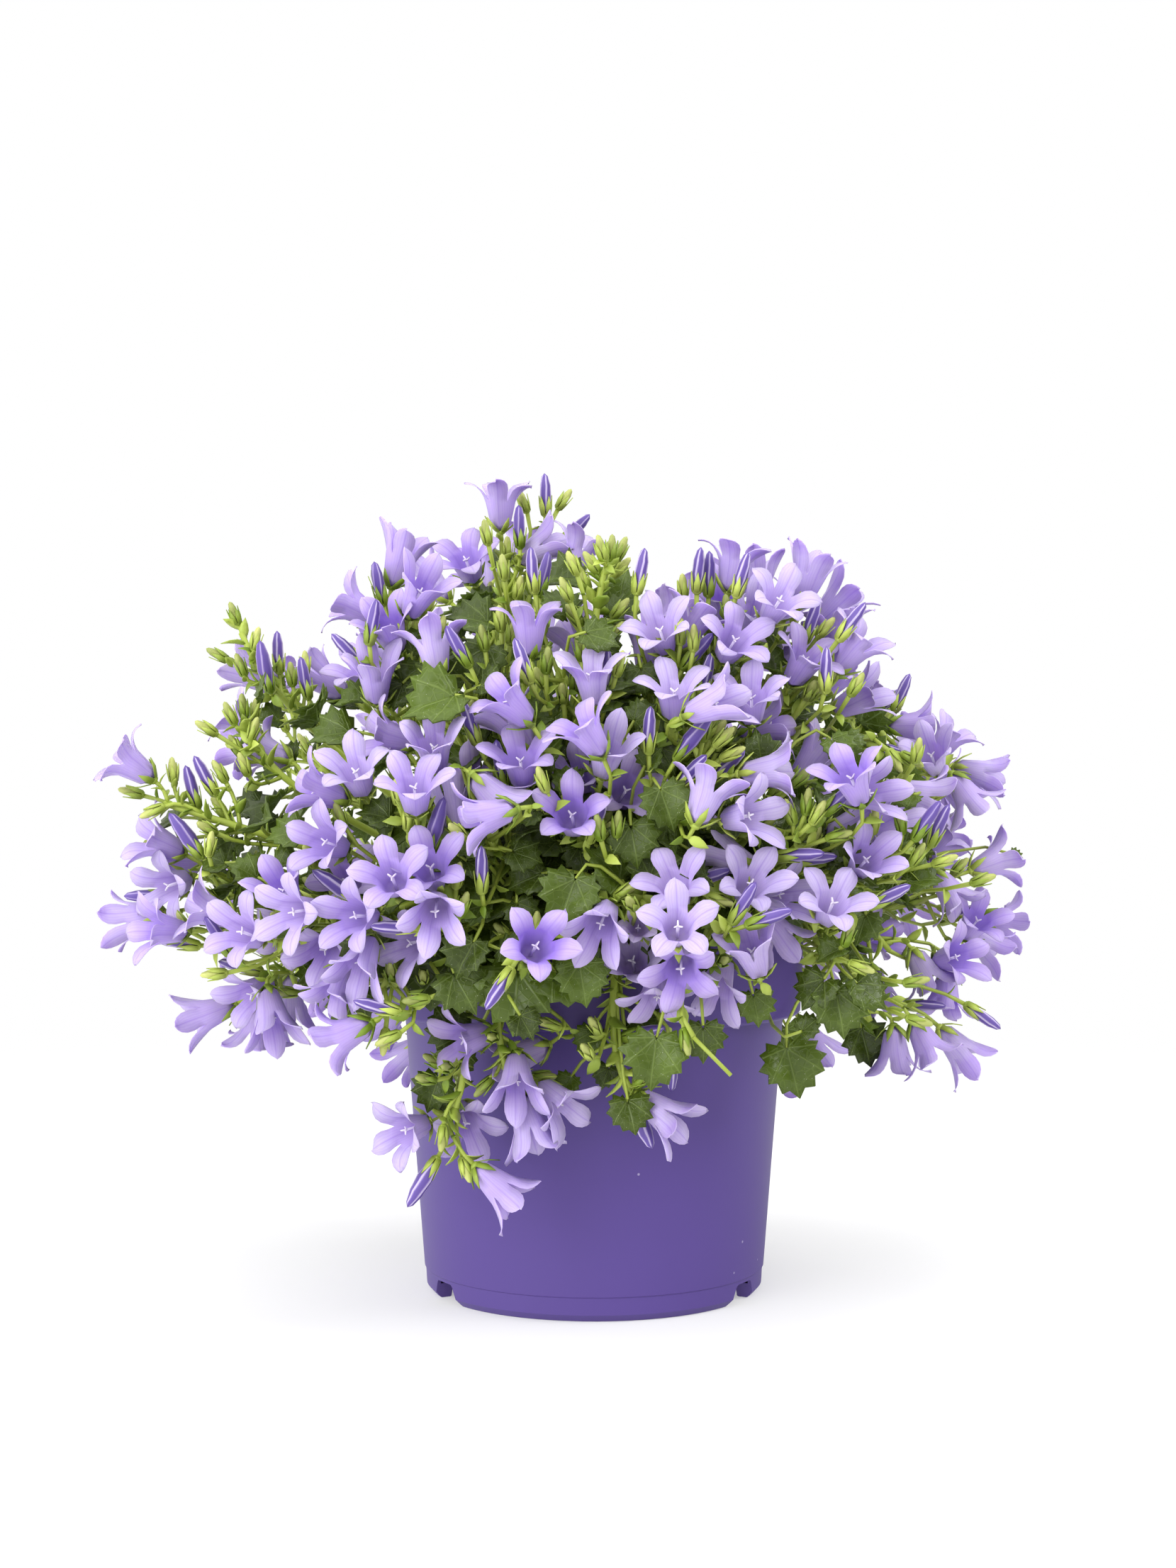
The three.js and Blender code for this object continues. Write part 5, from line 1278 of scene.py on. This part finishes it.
def add_stem(greens, stem, bract, random):
    """A tapered stem, with bracts along its upper part that turn on round it from one to the next."""
    path = [stem_foot(stem)] + [bezier(stem["controls"], i / STEM_RINGS) for i in range(STEM_RINGS + 1)]
    thick, thin = STEM_RADII
    radii = [thick + (thin - thick) * i / (len(path) - 1) for i in range(len(path))]
    add_tube(greens, path, radii, STEM_SIDES)
    turn = random() * math.tau
    for i in range(BRACTS):
        share = 0.4 + 0.58 * (i + random() * 0.6) / BRACTS
        spot, ahead = bezier(stem["controls"], share), bezier(stem["controls"], share + 0.02)
        turn += BRACT_TURN
        put_bract(greens, bract, spot, unit(spot, ahead), turn, 0.7 + random() * 0.6, random() * 2 - 1)


def stalk_curve(item):
    """A stalk leaves its stem at an easy angle and bends to run into its bloom, bud or leaf."""
    start, foot = item["start"], item["foot"]
    bend = along(foot, item["direction"], -min(gap_of(start, foot) * 0.45, 9))
    return [bezier([start, between(start, bend, 0.6), bend, foot], t / 4) for t in range(5)]


def add_item(greens, blooms, item, shapes, random):
    """A bloom, bud or leaf on its stalk, with bracts on the stalk of a bloom or bud."""
    curve = stalk_curve(item)
    tone = random() * 2 - 1
    place, foot = item["frame"], item["foot"]
    if item["kind"] == "leaf":
        shape = shapes["leaves"][int(random() * LEAF_VARIANTS)]
        middle = along(foot, item["direction"], item["size"] * LEAF_BASE)
        put(greens, shape, place, middle, item["size"], tone)
        add_tube(greens, curve, LEAF_STALK_RADII, STALK_SIDES)
        return
    add_tube(greens, curve, BLOOM_STALK_RADII, STALK_SIDES)
    turn = random() * math.tau
    for k in (1, 2, 3):
        put_bract(greens, shapes["bracts"][0], curve[k], unit(curve[k - 1], curve[k]), turn + BRACT_TURN * k,
                  0.5 + random() * 0.45, random() * 2 - 1)
    if item["kind"] == "bloom":
        put(greens, shapes["calyces"][1], place, foot, item["scale"], tone)
        sort = tuple(LOBE_PATHS)[int(random() * len(LOBE_PATHS))]
        shape = shapes[sort][int(random() * BLOOM_VARIANTS)]
        put(blooms, shape, place, foot, item["scale"] * BLOOM_SIZE, tone)
        return
    stage = item["stage"]
    if stage == BARE_END:
        end = along(foot, item["direction"], BUD_LENGTHS[stage])
        add_tube(greens, [foot, end], BARE_END_RADII, BARE_END_SIDES)
        return
    put(greens, shapes["calyces"][0], place, foot, CALYX_SIZES[stage], tone)
    put(blooms if stage else greens, shapes["buds"][stage], place, foot, 1, tone)


def add_object(name, data):
    piece = bpy.data.objects.new(name, data)
    bpy.context.scene.collection.objects.link(piece)
    return piece


def finish_piece(bm, name, materials, node):
    """Makes a piece's object at the origin, puts it on the root body and hides the solid that it stands for.
    """
    piece = add_object(name, mesh_of(bm, name))
    for material in materials:
        piece.data.materials.append(material)
    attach(piece, "root")
    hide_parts(node)
    return piece


# finishes

def linear(code):
    """An sRGB hex colour as linear red, green and blue."""
    values = [int(code[i:i + 2], 16) / 255 for i in (1, 3, 5)]
    return tuple(v / 12.92 if v <= 0.04045 else ((v + 0.055) / 1.055) ** 2.4 for v in values)


def dimmed(colour, share):
    return tuple(min(c * share, 1) for c in colour)


def scale_of(grain):
    """The scale of a pattern on Object coordinates whose grains are this many millimetres apart."""
    return 1 / (grain * MM)


# Sockets of a Mix node for colours: the share of the second colour, and the two colours
SHARE, FIRST, SECOND = 0, 6, 7


def add_node(owner, kind, links=(), stops=(), **settings):
    """Adds a shader node, with its settings, its links or socket values, and the stops of a ramp.

    Links go by a socket's name or number, or in the order of the sockets. A node stands for its first output.
    """
    tree = owner.node_tree
    node = tree.nodes.new("ShaderNode" + kind)
    for name, value in settings.items():
        setattr(node, name, value)
    for name, value in links.items() if isinstance(links, dict) else enumerate(links):
        socket = node.inputs[name]
        if isinstance(value, bpy.types.Node):
            value = next(output for output in value.outputs if output.enabled)
        if isinstance(value, bpy.types.NodeSocket):
            tree.links.new(value, socket)
        else:
            socket.default_value = (*value, 1) if socket.type == "RGBA" else value
    for i, (position, colour) in enumerate(stops):
        elements = node.color_ramp.elements
        element = elements[i] if i < len(elements) else elements.new(position)
        element.position = position
        element.color = (*colour, 1)
    return node


def start_finish(name):
    """A material without nodes."""
    material = bpy.data.materials.new(name)
    material.use_nodes = True
    material.node_tree.nodes.clear()
    return material


def close_finish(material, sockets, bump=None, height=0.1, strength=0.3):
    """Ends a material with its surface, and a bump that is this many millimetres high."""
    if bump is not None:
        sockets["Normal"] = add_node(material, "Bump", {"Height": bump, "Distance": height * MM,
                                                        "Strength": strength})
    surface = add_node(material, "BsdfPrincipled", sockets)
    add_node(material, "OutputMaterial", {"Surface": surface})
    return material


# The width of a lobe and the gap between its fine veins in millimetres, and the radians that a wave texture
# of scale 1 turns by over its unit
LOBE_WIDTH = 6.6
FIBRE_GAP = 0.86
WAVE_TURN = 20


def petal_finish(name, light, middle, deep, inside):
    """Thin fresh petal: satin, paler at its margins, with a darker mid-vein and fine veins along it.

    The fine veins are drawn about twice as far apart as they are, to show.
    """
    m = start_finish(name)
    place = add_node(m, "TexCoord").outputs["Object"]
    uv = add_node(m, "UVMap", uv_map="surface")
    split = add_node(m, "SeparateXYZ", (uv,))
    side = add_node(m, "Math", (split, 0.5), operation="SUBTRACT")
    side = add_node(m, "Math", (side,), operation="ABSOLUTE")
    tone = add_node(m, "Attribute", attribute_name="tone").outputs["Fac"]
    cloud = add_node(m, "TexNoise", {"Vector": place, "Scale": scale_of(8), "Detail": 2})
    shade = add_node(m, "Math", (tone, 0.4, split.outputs["Y"]), operation="MULTIPLY_ADD")
    shade = add_node(m, "Math", (cloud, 0.35, shade), operation="MULTIPLY_ADD")
    outer_stops = ((0.1, middle), (0.8, light), (1, middle))
    stops = ((0.05, deep), (0.42, middle), (1, light)) if inside else outer_stops
    colour = add_node(m, "ValToRGB", (shade,), stops)
    vein = add_node(m, "MapRange", (side, 0.012, 0.06, 0.46 if inside else 0.42, 0))
    turns = math.tau * LOBE_WIDTH / FIBRE_GAP
    fibre = add_node(m, "TexWave", {"Vector": uv, "Scale": turns / WAVE_TURN, "Distortion": 1.2, "Detail": 1},
                     bands_direction="X")
    fibre = add_node(m, "Math", (fibre.outputs["Fac"], 0.16), operation="MULTIPLY")
    mark = add_node(m, "Math", (vein, fibre), operation="MAXIMUM")
    colour = add_node(m, "Mix", {SHARE: mark, FIRST: colour, SECOND: deep}, data_type="RGBA")
    if inside:
        throat = add_node(m, "MapRange", (split.outputs["Y"], 0.05, 0.3, 0.65, 0))
        colour = add_node(m, "Mix", {SHARE: throat, FIRST: colour, SECOND: linear("#B5A5CC")},
                          data_type="RGBA")
    return close_finish(m, {"Base Color": colour, "Roughness": 0.52, "IOR": 1.42, "Specular IOR Level": 0.35,
                            "Subsurface Weight": 0.5, "Subsurface Radius": (0.6, 0.45, 0.9),
                            "Subsurface Scale": MM, "Sheen Weight": 0.06, "Sheen Roughness": 0.4},
                        fibre, 0.2, 0.35)


def striped_finish(light, deep):
    """Furled petals of a bud: satin and deep violet, with five pale stripes that wind to the tip."""
    m = start_finish("Furled_petal")
    split = add_node(m, "SeparateXYZ", (add_node(m, "UVMap", uv_map="surface"),))
    turn = add_node(m, "Math", (split, 5 * math.tau), operation="MULTIPLY")
    wave = add_node(m, "Math", (turn,), operation="COSINE")
    tone = add_node(m, "Attribute", attribute_name="tone").outputs["Fac"]
    wave = add_node(m, "Math", (tone, 0.25, wave), operation="MULTIPLY_ADD")
    colour = add_node(m, "ValToRGB", (wave,), ((0, deep), (0.55, linear("#8873B6")), (0.95, light)))
    return close_finish(m, {"Base Color": colour, "Roughness": 0.45, "IOR": 1.42})


def green_finish(name, light, deep, grain, roughness):
    """Living green tissue: satin skin, mottled from grain to grain, each one a little yellower or deeper."""
    m = start_finish(name)
    place = add_node(m, "TexCoord").outputs["Object"]
    tone = add_node(m, "Attribute", attribute_name="tone").outputs["Fac"]
    cloud = add_node(m, "TexNoise", {"Vector": place, "Scale": scale_of(grain), "Detail": 3})
    shade = add_node(m, "Math", (tone, 0.3, cloud), operation="MULTIPLY_ADD")
    colour = add_node(m, "ValToRGB", (shade,), ((0.2, deep), (0.85, light)))
    return close_finish(m, {"Base Color": colour, "Roughness": roughness, "IOR": 1.45}, cloud, 0.2)


# A leaf's span and the gaps of its net of fine veins and of its dust in millimetres, the place of its stalk
# on its UV, and half the angle between two of its main veins
LEAF_SPAN = 15
NET_GAP = 1.7
DUST_GAP = 0.95
STALK_END = (0.5 - LEAF_BASE, 0.5, 0)
VEIN_ANGLE = 0.35


def leaf_finish(name, light, deep, vein_colour, roughness):
    """Thick leaf skin: waxy, with paler palmate veins that fan out from the stalk, and grains of dust."""
    m = start_finish(name)
    place = add_node(m, "TexCoord").outputs["Object"]
    uv = add_node(m, "UVMap", uv_map="surface")
    reach = add_node(m, "VectorMath", (uv, STALK_END), operation="SUBTRACT")
    split = add_node(m, "SeparateXYZ", (reach,))
    angle = add_node(m, "Math", (split.outputs["Y"], split), operation="ARCTAN2")
    fold = add_node(m, "Math", (angle, VEIN_ANGLE), operation="PINGPONG")
    far = add_node(m, "VectorMath", (reach,), operation="LENGTH")
    spread = add_node(m, "Math", (fold, far), operation="MULTIPLY")
    vein = add_node(m, "MapRange", (spread, 0.004, 0.022, 0.34, 0))
    cells = add_node(m, "TexVoronoi", {"Vector": uv, "Scale": LEAF_SPAN / NET_GAP},
                     feature="DISTANCE_TO_EDGE")
    net = add_node(m, "MapRange", (cells, 0, 0.09, 0.16, 0))
    mark = add_node(m, "Math", (vein, net), operation="MAXIMUM")
    tone = add_node(m, "Attribute", attribute_name="tone").outputs["Fac"]
    cloud = add_node(m, "TexNoise", {"Vector": place, "Scale": scale_of(11), "Detail": 3})
    shade = add_node(m, "Math", (tone, 0.45, cloud), operation="MULTIPLY_ADD")
    colour = add_node(m, "ValToRGB", (shade,), ((0.1, deep), (1, light)))
    colour = add_node(m, "Mix", {SHARE: mark, FIRST: colour, SECOND: vein_colour}, data_type="RGBA")
    grains = add_node(m, "TexVoronoi", {"Vector": uv, "Scale": LEAF_SPAN / DUST_GAP})
    speck = add_node(m, "MapRange", (grains, 0.07, 0.11, 0.5, 0))
    colour = add_node(m, "Mix", {SHARE: speck, FIRST: colour, SECOND: linear("#D8DCC4")}, data_type="RGBA")
    return close_finish(m, {"Base Color": colour, "Roughness": roughness, "IOR": 1.4}, mark, 0.5, 0.7)


def pot_finish(plastic, dust):
    """Injection-moulded polypropylene with a fine etched skin: satin, with a few dust specks.

    The etched grain of about a tenth of a millimetre is drawn at 0.6 mm, to show.
    """
    m = start_finish("Injection_moulded_polypropylene")
    place = add_node(m, "TexCoord").outputs["Object"]
    cloud = add_node(m, "TexNoise", {"Vector": place, "Scale": scale_of(40), "Detail": 2})
    etch = add_node(m, "TexNoise", {"Vector": place, "Scale": scale_of(0.6), "Detail": 1})
    grains = add_node(m, "TexVoronoi", {"Vector": place, "Scale": scale_of(7.7)})
    speck = add_node(m, "MapRange", (grains, 0.03, 0.06, 0.5, 0))
    dusty = add_node(m, "Math", (cloud, 0.6), operation="GREATER_THAN")
    speck = add_node(m, "Math", (speck, dusty), operation="MULTIPLY")
    colour = add_node(m, "Mix", {SHARE: cloud, FIRST: dimmed(plastic, 0.94), SECOND: dimmed(plastic, 1.05)},
                      data_type="RGBA")
    colour = add_node(m, "Mix", {SHARE: speck, FIRST: colour, SECOND: dust}, data_type="RGBA")
    rough = add_node(m, "MapRange", (cloud, 0, 1, 0.42, 0.52))
    return close_finish(m, {"Base Color": colour, "Roughness": rough, "IOR": 1.49, "Specular IOR Level": 0.3},
                        etch, 0.05, 0.25)


def peat_finish():
    """Damp peat: dark, matt and crumbly, with paler fibres."""
    m = start_finish("Peat")
    place = add_node(m, "TexCoord").outputs["Object"]
    crumb = add_node(m, "TexNoise", {"Vector": place, "Scale": scale_of(2.9), "Detail": 5})
    stops = [(share, linear(code)) for share, code in ((0.3, "#150F0B"), (0.6, "#3A2A1F"), (0.75, "#6B523C"))]
    colour = add_node(m, "ValToRGB", (crumb,), stops)
    return close_finish(m, {"Base Color": colour, "Roughness": 0.95}, crumb, 1, 0.8)


def floor_finish(paint):
    """Painted studio floor: matt and white. It fades out into the white surround before its edge."""
    m = start_finish("Painted_floor")
    place = add_node(m, "TexCoord").outputs["Object"]
    cloud = add_node(m, "TexNoise", {"Vector": place, "Scale": scale_of(330)})
    colour = add_node(m, "Mix", {SHARE: cloud, FIRST: paint, SECOND: dimmed(paint, 0.99)}, data_type="RGBA")
    far = add_node(m, "VectorMath", (place,), operation="LENGTH")
    shown = add_node(m, "MapRange", (far, 0.2, 0.75, 0.6, 0), interpolation_type="SMOOTHSTEP")
    return close_finish(m, {"Base Color": colour, "Roughness": 0.9, "Alpha": shown})


# settings, operators and panel

def colour_setting(name, description, code):
    return bpy.props.FloatVectorProperty(name=name, description=description, subtype="COLOR", size=3, min=0,
                                         max=1, default=linear(code))


class BellflowerPlant(bpy.types.PropertyGroup):
    petal_light: colour_setting("Petal light", "Colour of a petal's margins", "#C0B3DE")
    petal_middle: colour_setting("Petal middle", "Main colour of a petal", "#B4A1D9")
    petal_deep: colour_setting("Petal deep", "Colour of the veins and the inside of the bell", "#8C70C9")
    leaf: colour_setting("Leaf", "Colour of a leaf's upper side", "#4F6316")
    stalk: colour_setting("Stem", "Colour of the stems", "#AEC04C")


class BellflowerPot(bpy.types.PropertyGroup):
    colour: colour_setting("Plastic", "Colour of the pot", "#534185")
    sides: bpy.props.IntProperty(
        name="Steps", description="Faces round the pot", default=96, min=24, max=256)
    wall: bpy.props.FloatProperty(
        name="Wall", description="Thickness of the pot's wall", subtype="DISTANCE", unit="LENGTH",
        default=1.3 * MM, min=0.5 * MM, max=3 * MM)


class BellflowerStage(bpy.types.PropertyGroup):
    floor: colour_setting("Floor", "Colour of the floor", "#FAFAFA")
    daylight: bpy.props.FloatProperty(
        name="Surround", description="Light from the white surround", default=0.88, min=0, max=5)
    softboxes: bpy.props.FloatProperty(
        name="Softboxes", description="Share of the softboxes' power", default=1.0, min=0, max=5)


# The pot's section, in millimetres of radius and height. Inside, the wall's thickness comes off the radii.
POT_OUTSIDE = (
    (0, 3.2), (46.5, 3.2), (46.5, 0), (49.9, 0), (51.9, 2.2), (52.2, 7.2), (52.6, 7.6), (LEDGE_RADIUS, 85),
    (58.9, COLLAR_BOTTOM), (63.2, COLLAR_BOTTOM), (64, 86.1), (COLLAR_RADIUS, 109.2), (64.4, POT_HEIGHT),
)
POT_INSIDE = ((COLLAR_RADIUS, POT_HEIGHT), (64, 87), (LEDGE_RADIUS, COLLAR_BOTTOM), (52.2, 4.8))
POT_FLOOR = 4.8
POT_ROUNDING = 0.45
SHARP_ANGLE = math.radians(35)
NOTCHES = 3
NOTCH_HALF_WIDTHS = (8, 4.5)
NOTCH_BOTTOM = -1
NOTCH_TOP = 6.3
NOTCH_PLACE = -51
NOTCH_DEPTH = 14


class BELLFLOWER_OT_pot(bpy.types.Operator):
    """Builds the nursery pot with its collar, parting line and drain notches"""
    bl_idname = "bellflower.pot"
    bl_label = "Pot"

    def execute(self, context):
        settings = context.scene.bellflower_pot
        wall = settings.wall / MM
        bm = bmesh.new()
        inside = [(radius - wall, height) for radius, height in POT_INSIDE]
        verts, _ = draw_profile(bm, [*POT_OUTSIDE, *inside, (0, POT_FLOOR)], MM)
        foot, collar = verts[2:4], verts[9:14]
        bmesh.ops.bevel(bm, geom=foot + collar, offset=POT_ROUNDING * MM, offset_type="OFFSET",
                        affect="VERTICES", segments=3, profile=0.5, material=-1)
        spin_profile(bm, bm.verts[:] + bm.edges[:], settings.sides, MM)
        finish = pot_finish(tuple(settings.colour), linear("#C9BFD8"))
        piece = finish_piece(bm, "nursery_pot", [finish], "pot")
        for i in range(NOTCHES):
            cut_notch(piece, math.pi + i * math.tau / NOTCHES)
        piece.data.set_sharp_from_angle(angle=SHARP_ANGLE)
        return {"FINISHED"}


def cut_notch(pot, turn):
    """Cuts one drain notch, wider at the bottom, through the foot."""
    bm = bmesh.new()
    bmesh.ops.create_cube(bm, size=1)
    turned = Matrix.Rotation(turn, 3, "Z")
    for vert in bm.verts:
        high = vert.co.z > 0
        x = math.copysign(NOTCH_HALF_WIDTHS[high], vert.co.x)
        y = NOTCH_PLACE + vert.co.y * NOTCH_DEPTH
        vert.co = turned @ Vector((x, y, NOTCH_TOP if high else NOTCH_BOTTOM)) * MM
    width = 2 * NOTCH_HALF_WIDTHS[1] * MM
    ends = [edge for edge in bm.edges if all(vert.co.z > 0 for vert in edge.verts)
            and abs((edge.verts[0].co - edge.verts[1].co).length - width) > MM]
    bmesh.ops.bevel(bm, geom=ends, offset=1 * MM, segments=3, affect="EDGES", profile=0.5, material=-1)
    cutter = add_object("notch", mesh_of(bm, "notch", smooth=False))
    cut = pot.modifiers.new("notch", "BOOLEAN")
    cut.object = cutter
    cut.operation = "DIFFERENCE"
    cut.solver = "EXACT"
    bpy.context.view_layer.objects.active = pot
    bpy.ops.object.modifier_apply(modifier=cut.name)
    bpy.data.objects.remove(cutter)


SOIL_SIDE = ((0, 5.4), (50.2, 5.4), (56.6, 85.6), (61.9, 87.4), (61.9, 94))
SOIL_RINGS = 15
SOIL_RING_GAP = 4
SOIL_EDGE = 60.5
SOIL_STEPS = 64


def crumbs(place):
    """How far the soil's top stands up at a place, in millimetres."""
    return noise.noise(place * 160) * 1.6 + noise.noise(place * 420) * 0.9 - 0.6


class BELLFLOWER_OT_soil(bpy.types.Operator):
    """Builds the peat that fills the pot"""
    bl_idname = "bellflower.soil"
    bl_label = "Soil"

    def execute(self, context):
        bm = bmesh.new()
        top = [(SOIL_EDGE - SOIL_RING_GAP * i, SOIL_TOP) for i in range(SOIL_RINGS)]
        verts, edges = draw_profile(bm, [*SOIL_SIDE, *top, (0, SOIL_TOP)], MM)
        spin_profile(bm, verts + edges, SOIL_STEPS, MM)
        for vert in bm.verts:
            if vert.co.z > (SOIL_TOP - 1) * MM:
                vert.co.z += crumbs(vert.co) * MM
        finish_piece(bm, "peat", [peat_finish()], "soil")
        return {"FINISHED"}


class BELLFLOWER_OT_plant(bpy.types.Operator):
    """Grows the stems with their leaves, calyces, buds and blooms"""
    bl_idname = "bellflower.plant"
    bl_label = "Plant"

    def execute(self, context):
        settings = context.scene.bellflower_plant
        petal = tuple(settings.petal_light), tuple(settings.petal_middle), tuple(settings.petal_deep)
        leaf, stalk = tuple(settings.leaf), tuple(settings.stalk)
        green = [
            green_finish("Young_stem", stalk, dimmed(stalk, 0.6), 16, 0.42),
            leaf_finish("Leaf_upper_side", leaf, dimmed(leaf, 0.45), linear("#84984E"), 0.34),
            leaf_finish("Leaf_underside", dimmed(leaf, 1.7), leaf, linear("#A9C07E"), 0.6),
            green_finish("Sepal", linear("#B8C85A"), linear("#748E26"), 9, 0.45),
            green_finish("Green_bud", linear("#C6CC76"), linear("#909A50"), 5, 0.45),
        ]
        violet = [
            petal_finish("Petal_inside", *petal, True),
            petal_finish("Petal_outside", *petal, False),
            striped_finish(linear("#C4B8DA"), linear("#624E9A")),
            green_finish("Style", linear("#EEE8F2"), linear("#D6CAE4"), 3, 0.5),
        ]
        shapes = make_shapes()
        random = Random(SEED + 2)
        for stem in grow():
            greens, blooms = start_shape(), start_shape()
            add_stem(greens, stem, shapes["bracts"][0], random)
            for item in stem["placed"]:
                add_item(greens, blooms, item, shapes, random)
            name = stem["name"]
            if blooms.faces:
                finish_piece(blooms, name + "_blooms", violet, name)
            else:
                blooms.free()
            finish_piece(greens, name + "_greens", green, name)
        for mesh in sum(shapes.values(), []):
            bpy.data.meshes.remove(mesh)
        return {"FINISHED"}


FLOOR_RADIUS = 0.8
BRIGHTER_SIDE = (-0.55, -0.32, 0.12)
LIT_POINT = (0, 0, 0.12)
# Softboxes: place and side in metres, and power in watts
SOFTBOXES = (
    ("left_softbox", (-0.95, -0.85, 0.35), 0.8, 5.5),
    ("right_softbox", (0.95, -0.3, 0.85), 0.7, 8.5),
    ("front_softbox", (-0.4, -1.1, 0.9), 1.1, 6),
    ("top_softbox", (-0.1, -0.1, 1.3), 1.2, 4),
)
SENSOR_HEIGHT = 36
FOCAL_LENGTH = 52.9


def white_surround(daylight):
    """A world that shows as plain white, and lights the plant a little more from its brighter side."""
    world = bpy.data.worlds.new("studio")
    world.use_nodes = True
    direction = add_node(world, "TexCoord").outputs["Generated"]
    lean = add_node(world, "VectorMath", (direction, BRIGHTER_SIDE), operation="DOT_PRODUCT")
    lit = add_node(world, "Math", (lean, daylight, daylight), operation="MULTIPLY_ADD")
    shown = add_node(world, "LightPath").outputs["Is Camera Ray"]
    strength = add_node(world, "MapRange", (shown, 0, 1, lit, 1))
    surround = world.node_tree.nodes["Background"]
    surround.inputs["Color"].default_value = (1, 1, 1, 1)
    world.node_tree.links.new(strength.outputs[0], surround.inputs["Strength"])
    return world


def add_softbox(name, place, size, power):
    light = bpy.data.lights.new(name, "AREA")
    light.shape = "SQUARE"
    light.size = size
    light.energy = power
    lamp = add_object(name, light)
    lamp.location = place
    lamp.rotation_euler = (Vector(LIT_POINT) - Vector(place)).to_track_quat("-Z", "Y").to_euler()


class BELLFLOWER_OT_stage(bpy.types.Operator):
    """Builds the pale floor, the soft studio light and the camera"""
    bl_idname = "bellflower.stage"
    bl_label = "Stage"

    def execute(self, context):
        settings = context.scene.bellflower_stage
        scene = context.scene
        bm = bmesh.new()
        bmesh.ops.create_circle(bm, cap_ends=True, cap_tris=True, segments=64, radius=FLOOR_RADIUS)
        floor = add_object("floor", mesh_of(bm, "floor", smooth=False))
        floor.data.materials.append(floor_finish(tuple(settings.floor)))
        floor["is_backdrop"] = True
        scene.world = white_surround(settings.daylight)
        scene.view_settings.view_transform = "Standard"
        for name, place, size, power in SOFTBOXES:
            add_softbox(name, place, size, power * settings.softboxes)
        camera = add_object("camera", bpy.data.cameras.new("camera"))
        camera.data.sensor_fit = "VERTICAL"
        camera.data.sensor_height = SENSOR_HEIGHT
        camera.data.lens = FOCAL_LENGTH
        camera.location = scaled(EYE, MM)
        camera.rotation_euler = (math.pi / 2, 0, 0)
        scene.camera = camera
        return {"FINISHED"}


STEPS = (BELLFLOWER_OT_pot, BELLFLOWER_OT_soil, BELLFLOWER_OT_plant, BELLFLOWER_OT_stage)
SETTINGS = (("bellflower_plant", BellflowerPlant), ("bellflower_pot", BellflowerPot),
            ("bellflower_stage", BellflowerStage))


class BELLFLOWER_PT_panel(bpy.types.Panel):
    """Lists the steps and their settings"""
    bl_idname = "BELLFLOWER_PT_panel"
    bl_label = "Potted Bellflower"
    bl_space_type = "VIEW_3D"
    bl_region_type = "UI"
    bl_category = "Bellflower"

    def draw(self, context):
        for name, group in SETTINGS:
            for field in group.__annotations__:
                self.layout.prop(getattr(context.scene, name), field)
        for step in STEPS:
            self.layout.operator(step.bl_idname)


def register():
    for name, group in SETTINGS:
        bpy.utils.register_class(group)
        setattr(bpy.types.Scene, name, bpy.props.PointerProperty(type=group))
    for item in (*STEPS, BELLFLOWER_PT_panel):
        bpy.utils.register_class(item)


def unregister():
    for item in (BELLFLOWER_PT_panel, *reversed(STEPS)):
        bpy.utils.unregister_class(item)
    for name, group in SETTINGS:
        delattr(bpy.types.Scene, name)
        bpy.utils.unregister_class(group)


def main():
    register()
    bpy.ops.bellflower.pot()
    bpy.ops.bellflower.soil()
    bpy.ops.bellflower.plant()
    bpy.ops.bellflower.stage()
    boxes = [[list(corner) for corner in box] for box in (CAD_BOX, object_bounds())]


if __name__ == "__main__":
    main()
